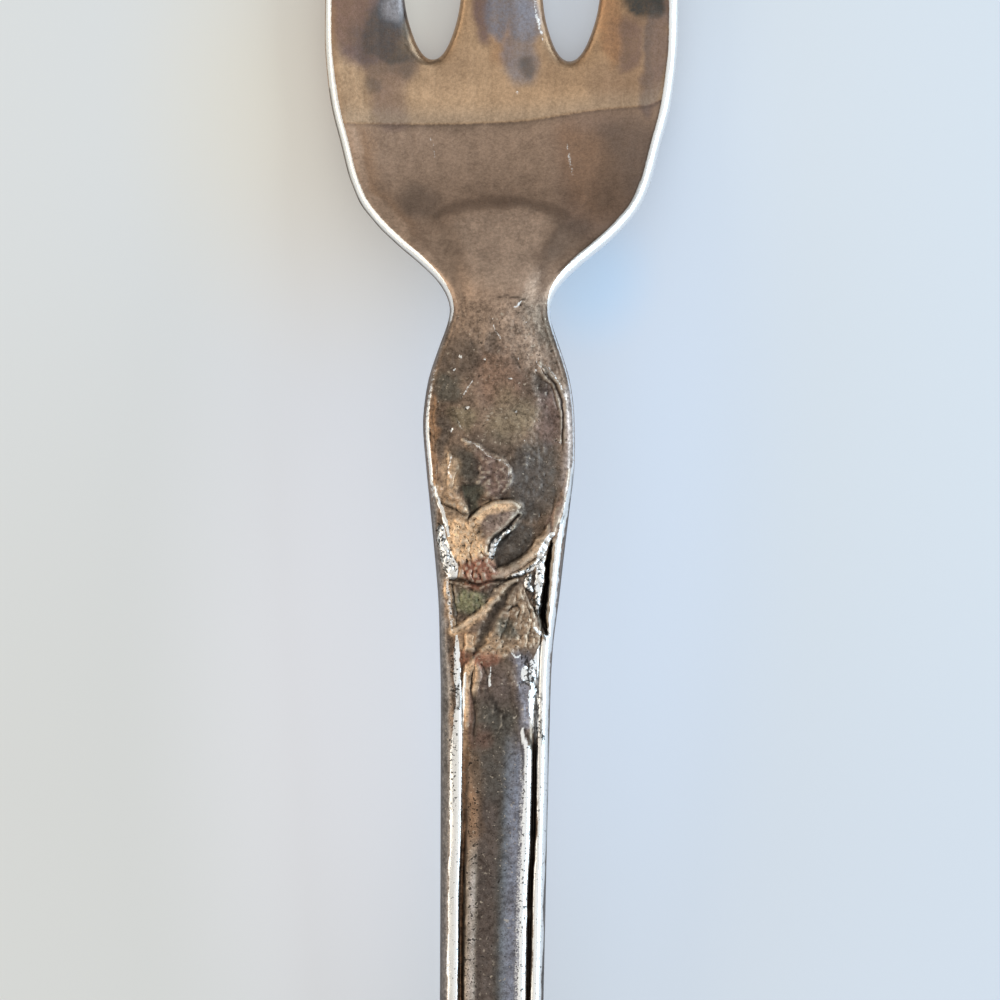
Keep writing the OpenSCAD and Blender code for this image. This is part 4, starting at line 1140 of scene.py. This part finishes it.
def outer_rims(x, y, depth):
    """How bare the silver is rubbed along the fork's outer edges, from the depth inside the outline."""
    right = x > 0
    head = ease((y - HEAD_RIM_START) / HEAD_RIM_BLEND)
    bulb = ease((BULB_RIM_START - y) / BULB_RIM_BLEND) * ease((y - BULB_RIM_END) / BULB_RIM_END_BLEND)

    def strip(start, start_blend, end, end_blend):
        return ease((depth - start) / start_blend) * (1 - ease((depth - end) / end_blend))
    right_head = 1 - ease((depth - np.interp(y, *RIGHT_RIM)) / RIGHT_HEAD_BLEND)
    left_head = strip(OUTLINE_START, OUTLINE_BLEND, np.interp(y, *LEFT_RIM), LEFT_HEAD_BLEND)
    right_bulb = RIGHT_BULB_SHARE * strip(*RIGHT_BULB_STRIP)
    left_bulb = np.interp(y, *LEFT_BULB_SHARES) * strip(*LEFT_BULB_STRIP)
    return head * np.where(right, right_head, left_head) + bulb * np.where(right, right_bulb, left_bulb)


def handle_tones(x, y, half, shares):
    """Tones along the threaded handle: bare beads, grooves with painted shade on their left-facing walls,
    and a field with painted shade on its brown left half and a painted blue-grey reflection on its right
    half.
    """
    low = ease((BANDS_TOP - y) / BANDS_BLEND)
    above = ease((y - TONE_CHANGE) / TONE_CHANGE_BLEND)
    across = (x - die_middle(y)) / half
    for amount, size, layer in BAND_WAVES:
        across = across + amount * clouds(x, y, size, layer)

    def lay(name, strength, lower_strength, first, last, soft, weight=1):
        band = ease((across - first) / soft + 0.5) * ease((last - across) / soft + 0.5) * low
        strengths = lower_strength + (strength - lower_strength) * above
        shares[name] = np.maximum(shares[name], strengths * band * weight)
    for row in HANDLE_BANDS:
        lay(*row)
    lay(*UPPER_BEAD_BAND, ease((UPPER_BEAD_TOP - y) / UPPER_BEAD_BLEND))


def dark_outlines(x, y, depth):
    """Painted shade in thin dark lines along the outline: inside the head's right rim, on the left, and low
    on the right.
    """
    def rim(strength, start, blend):
        return strength * (1 - ease((depth - start) / blend))
    strength, middle, breadth = INNER_LINE
    inner = strength * np.exp(-((depth - middle) / breadth) ** 2) * (x > 0) * (y > INNER_LINE_START)
    left = rim(*LEFT_LINE) * (x < 0) * (y < LEFT_LINE_END)
    right = rim(*RIGHT_LINE) * (x > 0) * ease(RIGHT_LINE_TOP - y)
    return np.max([inner, left, right], axis=0)


def stain(mesh, x, y, half, depth, places, top):
    """Keeps each tone's share at each vertex of the upper side, and where the silver is bare."""
    spots = ragged(places, STAIN_WAVES)
    edge_spots = ragged(places, EDGE_WAVES)
    shares = {name: highest(spots, patches, patch_share) for name, patches in TONES.items()}
    shares |= {name: np.zeros(len(places)) for name in ("bare", "flecks", "dark")}
    handle_tones(x, y, half, shares)

    def add(name, *layers):
        shares[name] = np.max([shares[name], *layers], axis=0)
    add(
        "bare", highest(edge_spots, BARE_LINES, line_share, FULL), outer_rims(x, y, depth),
        NICK_SHARE * dot_share(ragged(places, NICK_WAVES), NICKS) ** 0.5
    )
    add(
        "flecks", highest(edge_spots, FLECK_LINES, line_share, FULL),
        highest(edge_spots, FLECK_PATCHES, patch_share)
    )
    # The dark share: grime lines, and painted shade along the slopes away from the window, round the heel,
    # beside the neck and along the outline
    add(
        "dark", highest(edge_spots, DARK_LINES, line_share, FIRM), highest(edge_spots, HEEL_ARC, line_share),
        highest(spots, NECK_SIDES, line_share, FAINT), dark_outlines(x, y, depth)
    )
    shares["coarse"] = ease((places[:, 1] - COARSE_START) / COARSE_BLEND)
    for name, values in shares.items():
        keep(mesh, name, values * top)
    line = smooth_line(HEAD_TONE_LINE)
    keep(mesh, "above_tone_line", np.interp(places[:, 0], line[:, 0], line[:, 1]) - places[:, 1])


# The two pieces: where the coat's mesh is cut finer, as its ends along the fork in millimetres, whether
# lengthwise and in how many cuts, how often each one is rounded, what counts as facing up, how far round
# a point its crests are measured, and how far each piece's surface lies outside the blank's

FINE_TOP, PHOTO_TOP, PHOTO_END = 1.0, 16.8, -38.5
END_BLOSSOM_ROOM = 3
REFINED = [
    (-ORNAMENT_LENGTH, FINE_TOP, True, 2), (-ORNAMENT_LENGTH, FINE_TOP, False, 1),
    (PHOTO_END, -ORNAMENT_LENGTH, True, 3),
    (HANDLE_END + END_BLOSSOM_ROOM, FLAT_PLACE[1] + END_BLOSSOM_ROOM, True, 1),
    (FINE_TOP, PHOTO_TOP, True, 1), (FINE_TOP, PHOTO_TOP, False, 1)
]
COAT_ROUNDING, CORE_ROUNDING = 2, 1
FACE_UP, FACE_UP_BLEND = -0.1, 0.3
CREST_REACH, SWELL_REACH = 0.16, 0.5
CREST_SHARES = ([-92, -84, -28, -22], [0.9, 0.35, 0.35, 1])
COAT_WORN = -0.12
CORE_INSIDE, CORE_UNDER_CARVING = -0.15, 0.6


def plating_piece():
    """The coat of silver, with the ornament struck in it and open where it is worn through."""
    piece = fork_form("silver_plating_coat")
    form = smoothed(piece, COAT_ROUNDING)
    for stretch in REFINED:
        refine(form, *stretch)
    form.to_mesh(piece.data)
    form.free()
    x, y, half, depth, places, upper = carve(piece.data)
    top = ease((normals(piece.data)[:, 2] - FACE_UP) / FACE_UP_BLEND)
    fine, broad = np.zeros(len(x)), np.zeros(len(x))
    fine[upper] = crest(x[upper], y[upper], half[upper], places[upper], CREST_REACH)
    broad[upper] = crest(x[upper], y[upper], half[upper], places[upper], SWELL_REACH)
    keep(piece.data, "crest", fine * top * np.interp(y, *CREST_SHARES))
    # The broad crest, kept for the painted light and shade on the swellings
    keep(piece.data, "swell_light", broad * top)
    stain(piece.data, x, y, half, depth, places, top)
    settle(piece.data, PLATING, COAT_WORN)
    return piece


def blank_piece():
    """The nickel silver under the coat, which shows where the coat is worn through."""
    piece = fork_form("nickel_silver_core")
    form = smoothed(piece, CORE_ROUNDING)
    form.to_mesh(piece.data)
    form.free()
    settle(piece.data, CORE_INSIDE, 0, CORE_UNDER_CARVING)
    return piece


# Materials

class Nodes:
    """A node tree, filled one node at a time, with the links between its nodes."""

    def __init__(self, tree):
        self.tree = tree

    def put(self, socket, value):
        if isinstance(value, bpy.types.NodeSocket):
            self.tree.links.new(value, socket)
        else:
            socket.default_value = value

    def node(self, kind, settings=(), **inputs):
        made = self.tree.nodes.new("ShaderNode" + kind)
        for name, value in dict(settings).items():
            setattr(made, name, value)
        for name, value in inputs.items():
            self.put(made.inputs[name.replace("_", " ")], value)
        return made

    def sums(self, operation, a, b):
        made = self.node("Math", {"operation": operation})
        self.put(made.inputs[0], a)
        self.put(made.inputs[1], b)
        return made.outputs[0]

    def plus(self, first, *more):
        for value in more:
            first = self.sums("ADD", first, value)
        return first

    def times(self, a, b):
        return self.sums("MULTIPLY", a, b)

    def rises(self, value, low, high, out_low=0.0, out_high=1.0):
        """Eases from one value to the other while its input goes from low to high."""
        made = self.node(
            "MapRange", {"interpolation_type": "SMOOTHSTEP"},
            Value=value, From_Min=low, From_Max=high, To_Min=out_low, To_Max=out_high
        )
        return made.outputs["Result"]

    def mix(self, share, a, b, how="MIX"):
        made = self.node("Mix", {"data_type": "RGBA", "blend_type": how})
        self.put(made.inputs["Factor"], share)
        for socket, value in ((made.inputs[6], a), (made.inputs[7], b)):
            self.put(socket, (*value, 1) if isinstance(value, tuple) else value)
        return made.outputs[2]


class Finish(Nodes):
    """A material's nodes, which read the piece's own coordinates and what its mesh keeps."""

    def __init__(self, name, metallic):
        self.material = bpy.data.materials.new(name)
        self.material.use_nodes = True
        super().__init__(self.material.node_tree)
        self.shader = self.tree.nodes["Principled BSDF"]
        self.shader.inputs["Metallic"].default_value = metallic
        self.object_place = self.node("TexCoord").outputs["Object"]

    def shade(self, socket, value):
        self.put(self.shader.inputs[socket], value)

    def stored(self, name):
        """The number that the mesh keeps under this name."""
        return self.node("Attribute", {"attribute_name": name}).outputs["Fac"]

    def clouds(self, size, detail=3, stretch=(1, 1, 1), rough=0.55):
        """Noise whose spots are about this size, in metres, from 0 to 1."""
        scaled = self.node("Mapping", Vector=self.object_place, Scale=stretch)
        made = self.node(
            "TexNoise", Vector=scaled.outputs["Vector"], Scale=1 / size, Detail=detail, Roughness=rough
        )
        return made.outputs["Fac"]

    def shaded(self, colour, level):
        """The colour made lighter or darker by a level that is 1 where it stays."""
        grey = self.node("CombineColor", Red=level, Green=level, Blue=level)
        return self.mix(1.0, colour, grey.outputs[0], "MULTIPLY")

    def bump(self, height, distance, under=None):
        made = self.node("Bump", Height=height, Distance=distance)
        made.inputs["Strength"].default_value = 1
        if under is not None:
            self.put(made.inputs["Normal"], under)
        return made.outputs["Normal"]


BROWN, DEEP_BROWN, UMBER = (0.27, 0.19, 0.138), (0.165, 0.115, 0.085), (0.47, 0.325, 0.235)
TAN, DEEP_TAN = (0.51, 0.34, 0.21), (0.42, 0.275, 0.17)
TONE_COLOURS = {
    "mauve": (0.215, 0.145, 0.125), "copper": (0.43, 0.245, 0.135), "straw_and_highlight": (0.74, 0.50, 0.31),
    "steel": (0.20, 0.21, 0.255), "green": (0.09, 0.11, 0.088), "olive": (0.30, 0.29, 0.17),
    "red": (0.30, 0.125, 0.085), "soot_and_shade": (0.080, 0.077, 0.072), "ash_and_glint": (0.46, 0.39, 0.355),
    "fawn_and_light": (0.66, 0.48, 0.36), "haze_and_sheen": (0.40, 0.41, 0.48), "side": (0.30, 0.27, 0.25)
}
SILVER = (0.95, 0.94, 0.92)
PALE_CREST = (0.66, 0.56, 0.44)
# A black-brown: grime in the hollows, cuts and pits, and painted shade in the dark lines
GRIME_AND_SHADE = (0.022, 0.018, 0.015)
WARM_METAL, DEEP_METAL, SCRATCHED_METAL = (0.62, 0.54, 0.42), (0.52, 0.43, 0.32), (0.72, 0.66, 0.56)


class SilverPlate(Finish):
    """The worn silver's finish, whose steps are called in the order in which they lie on the metal."""

    def __init__(self):
        super().__init__("toned_silver_plate", 1)
        self.mid, self.fine = self.clouds(0.9 * MM), self.clouds(0.18 * MM, 2)
        self.grit = self.clouds(0.075 * MM, 2, rough=0.7)
        self.streaks = self.clouds(0.6 * MM, 3, (1, 0.10, 1))
        self.coarse = self.stored("coarse")
        self.uneven = self.rises(self.plus(self.mid, self.fine), 0.6, 1.3, 0.75, 1.1)
        bare = self.plus(self.stored("bare"), self.times(self.plus(self.fine, self.grit, -1.0), 0.7))
        self.rub = self.rises(bare, 0.32, 0.62)

    def shaken(self, value, amount):
        """A value with an uneven edge, from the fine clouds."""
        return self.plus(value, self.times(self.plus(self.fine, -0.5), amount))

    def toned(self):
        """Brown below a line across the head, tan above it, and the tones on both: stains, and painted light
        and shade.
        """
        clouded = self.rises(self.clouds(4 * MM), 0.35, 0.68)
        tone = self.mix(self.stored("umber"), self.mix(clouded, BROWN, DEEP_BROWN), UMBER)
        tan = self.mix(clouded, TAN, DEEP_TAN)
        tone_edge = self.shaken(self.stored("above_tone_line"), 2.5)
        colour = self.mix(self.rises(tone_edge, -1.3, 1.3), tone, tan)
        for name, shade in TONE_COLOURS.items():
            colour = self.mix(self.times(self.stored(name), self.uneven), colour, shade)
        return colour

    def edged(self, colour):
        """A pale margin just above the line between the head's tones and a dark one just below it."""
        above = self.stored("above_tone_line")
        tone_edge = self.shaken(above, 2.5)
        just_above = self.times(self.rises(tone_edge, 0.0, 3.0), self.rises(above, 2.0, 26.0, 1.0, 0.0))
        just_below = self.times(self.rises(tone_edge, -4.0, -1.0), self.rises(tone_edge, -0.5, 1.0, 1.0, 0.0))
        colour = self.mix(self.times(just_above, 0.22), colour, PALE_CREST)
        return self.mix(self.times(just_below, 0.2), colour, GRIME_AND_SHADE)

    def mottled(self, colour):
        """Lighter and darker patches, spots, streaks and specks, stronger where the finish is coarse."""
        patches = self.rises(self.mid, 0.3, 0.7, -1.0, 1.0)
        patches = self.times(patches, self.rises(self.coarse, 0.0, 1.0, 0.05, 0.17))
        spots = self.rises(self.clouds(0.36 * MM), 0.32, 0.68, -1.0, 1.0)
        spots = self.times(spots, self.rises(self.coarse, 0.0, 1.0, 0.03, 0.18))
        drawn = self.rises(self.streaks, 0.3, 0.7, -0.07, 0.07)
        specks = [self.rises(self.fine, 0.28, 0.72, -0.5, 0.5), self.rises(self.grit, 0.3, 0.7, -0.5, 0.5)]
        specks = self.times(self.plus(*specks), self.rises(self.coarse, 0.0, 1.0, 0.2, 0.36))
        return self.shaded(colour, self.plus(patches, spots, drawn, specks, 1.0))

    def sparked(self, colour):
        """Bright sparks and black pits, crowded in patches of the coarse finish."""
        sparks = self.clouds(0.2 * MM, 2)
        crowded = self.times(self.coarse, self.rises(self.mid, 0.35, 0.65, 0.2, 1.0))
        bright = self.times(self.rises(sparks, 0.645, 0.70), self.times(crowded, 0.7))
        black = self.times(self.rises(sparks, 0.355, 0.30), self.times(crowded, 0.75))
        return self.mix(black, self.mix(bright, colour, PALE_CREST), GRIME_AND_SHADE)

    def rubbed(self, colour):
        """Painted light and shade on the swellings, pale crests, bare silver where it is rubbed, and dirt in
        the hollows.
        """
        # Painted light and shade: broad swellings of the relief lighter, broad hollows darker
        colour = self.shaded(colour, self.rises(self.stored("swell_light"), -0.12, 0.12, 0.62, 1.30))
        crests = self.shaken(self.stored("crest"), 0.02)
        colour = self.mix(self.rises(crests, 0.006, 0.05, 0.0, 0.5), colour, PALE_CREST)
        colour = self.mix(self.rub, colour, SILVER)
        return self.mix(self.rises(self.times(crests, -1.0), 0.008, 0.06, 0.0, 0.85), colour, GRIME_AND_SHADE)

    def blackened(self, colour):
        """Black flecks on the bare silver, and the dark lines: grime, and painted shade."""
        share = self.stored("flecks")
        flecks = self.rises(self.plus(self.times(share, 0.22), self.fine), 0.66, 0.74)
        flecks = self.times(flecks, self.rises(share, 0.02, 0.2))
        colour = self.mix(self.times(flecks, 0.9), colour, GRIME_AND_SHADE)
        return self.mix(self.times(self.stored("dark"), self.uneven), colour, GRIME_AND_SHADE)


def silver_plate():
    """Worn silver: brown below a line across the head and tan above it, stains and tones that stand in for
    light, bright rubbed edges, grime and painted shade in the lines, and painted light on the swellings.
    """
    f = SilverPlate()
    colour = f.toned()
    for step in (f.edged, f.mottled, f.sparked, f.rubbed, f.blackened):
        colour = step(colour)
    f.shade("Base Color", colour)
    dull = f.rises(f.plus(f.streaks, f.mid), 0.7, 1.3, 0.34, 0.48)
    f.shade("Roughness", f.plus(dull, f.times(f.rub, -0.16)))
    low = f.bump(f.grit, 0.006 * MM, f.bump(f.fine, 0.014 * MM))
    f.shade("Normal", f.bump(f.streaks, 0.02 * MM, low))
    return f.material


def nickel_silver():
    """Bare nickel silver, rubbed bright and scratched along the fork."""
    f = Finish("bare_nickel_silver", 1)
    broad, fine = f.clouds(1.5 * MM), f.clouds(0.12 * MM, 2)
    scratches = f.clouds(0.5 * MM, 4, (1, 0.05, 1))
    colour = f.mix(f.rises(broad, 0.35, 0.65), WARM_METAL, DEEP_METAL)
    colour = f.mix(f.rises(scratches, 0.55, 0.75), colour, SCRATCHED_METAL)
    f.shade("Base Color", colour)
    f.shade("Roughness", f.rises(fine, 0.3, 0.7, 0.26, 0.4))
    f.shade("Normal", f.bump(scratches, 0.02 * MM))
    return f.material


def finish_piece(piece, material, node):
    piece.data.materials.clear()
    piece.data.materials.append(material)
    piece.data.shade_smooth()
    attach(piece, "root")
    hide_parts(node)


finish_piece(plating_piece(), silver_plate(), "silver_plating")
finish_piece(blank_piece(), nickel_silver(), "nickel_silver_blank")


# The floor and the light

# The table's colour, painted bluer on the window's side as the window's light
FLOOR_LEFT, FLOOR_RIGHT = (0.55, 0.55, 0.53), (0.52, 0.595, 0.675)
FLOOR_GLOW = (0.20, 0.205, 0.215)
FLOOR_SIZE = 1.5
FLOOR_ROUGHNESS = 0.7
FLOOR_BLEND = 40 * MM

# Painted shadows and light on the table round the fork, as soft tints: a warm shadow left of the head, a
# lighter patch left of the handle, bluish shadows right of the neck and bulb, and darker tones further
# down. Middle and reach in millimetres from the neck, and the tint, which fades out between two shares
# of the reach
PAINTED_FLOOR_LIGHT_AND_SHADOW = [
    ((-9, 12), (11, 14), (1.12, 1.0, 0.80)),
    ((-7, -19), (11, 30), (1.26, 1.24, 1.32)),
    ((6, -6), (10, 36), (1.0, 1.07, 1.20)),
    ((4.8, 2), (3.6, 4), (0.80, 1.0, 1.14)),
    ((-27, -36), (26, 34), (0.95, 0.92, 0.87)),
    ((22, -40), (26, 26), (0.95, 0.95, 0.97))
]
TINT_EDGE, TINT_FULL = 1.3, 0.2

# The light: a lamp's size and place in metres, power and colour, and the room's levels and tints
LAMPS = {
    "window": ((1.3, 0.8), 9.4, (1.0, 0.1, 0.45), (0.68, 0.86, 1.0)),
    "warm_wall": ((1.6, 0.7), 4.4, (-1.0, 0.0, 0.40), (1.0, 0.92, 0.80))
}
ROOM_LEVEL, ROOM_OVERHEAD, ROOM_SIDE = 0.38, 0.60, 0.12
ROOM_WARM, ROOM_COOL, ROOM_BLEND = (1.0, 0.95, 0.87), (0.90, 0.95, 1.0), 0.8


def floor_paint():
    """The table's paint: bluer on the window's side and tinted round the fork, both painted light and
    shadow, and lightened as the camera and the metal see it.
    """
    f = Finish("pale_table", 0)
    across = f.node("SeparateXYZ", Vector=f.object_place).outputs["X"]
    colour = f.mix(f.rises(across, -FLOOR_BLEND, FLOOR_BLEND), FLOOR_LEFT, FLOOR_RIGHT)
    for (x, y), (wide, long), tint in PAINTED_FLOOR_LIGHT_AND_SHADOW:
        placed = f.node(
            "Mapping", {"vector_type": "TEXTURE"}, Vector=f.object_place,
            Location=(x * MM, NECK_Y + y * MM, 0), Scale=(wide * MM, long * MM, 1)
        )
        off = f.node("VectorMath", {"operation": "LENGTH"}, Vector=placed.outputs["Vector"])
        share = f.rises(off.outputs["Value"], TINT_EDGE, TINT_FULL)
        colour = f.mix(share, colour, tint, "MULTIPLY")
    f.shade("Base Color", colour)
    f.shade("Roughness", FLOOR_ROUGHNESS)
    f.shade("Emission Color", (*FLOOR_GLOW, 1))
    rays = f.node("LightPath").outputs
    f.shade("Emission Strength", f.sums("MAXIMUM", rays["Is Camera Ray"], rays["Is Glossy Ray"]))
    return f.material


def floor():
    """A pale table top, so bright that the fork's shadow on it is soft."""
    plane = bmesh.new()
    bmesh.ops.create_grid(plane, x_segments=1, y_segments=1, size=FLOOR_SIZE)
    mesh = bpy.data.meshes.new("table_top")
    plane.to_mesh(mesh)
    plane.free()
    top = bpy.data.objects.new("table_top", mesh)
    bpy.context.scene.collection.objects.link(top)
    top.data.materials.append(floor_paint())


def lamp(name, size, power, place, colour):
    light = bpy.data.lights.new(name, "AREA")
    light.shape = "RECTANGLE"
    light.size, light.size_y = size
    light.energy = power
    light.color = colour
    made = bpy.data.objects.new(name, light)
    made.location = place
    made.rotation_euler = (-Vector(place)).to_track_quat("-Z", "Y").to_euler()
    bpy.context.scene.collection.objects.link(made)


def room_light():
    """A plain room round the table: brightest overhead, and brighter on the window's side."""
    world = bpy.data.worlds.new("studio")
    world.use_nodes = True
    room = Nodes(world.node_tree)
    backdrop = room.tree.nodes["Background"]
    facing = room.node("SeparateXYZ", Vector=room.node("TexCoord").outputs["Generated"]).outputs
    overhead = room.times(room.times(facing["Z"], facing["Z"]), ROOM_OVERHEAD)
    level = room.plus(overhead, ROOM_LEVEL, room.times(facing["X"], ROOM_SIDE))
    room.put(backdrop.inputs["Strength"], level)
    across = room.node("MapRange", Value=facing["X"], From_Min=-ROOM_BLEND, From_Max=ROOM_BLEND)
    room.put(backdrop.inputs["Color"], room.mix(across.outputs["Result"], ROOM_WARM, ROOM_COOL))
    bpy.context.scene.world = world


floor()
for name, settings in LAMPS.items():
    lamp(name, *settings)
room_light()
bpy.context.scene.view_settings.view_transform = "Standard"
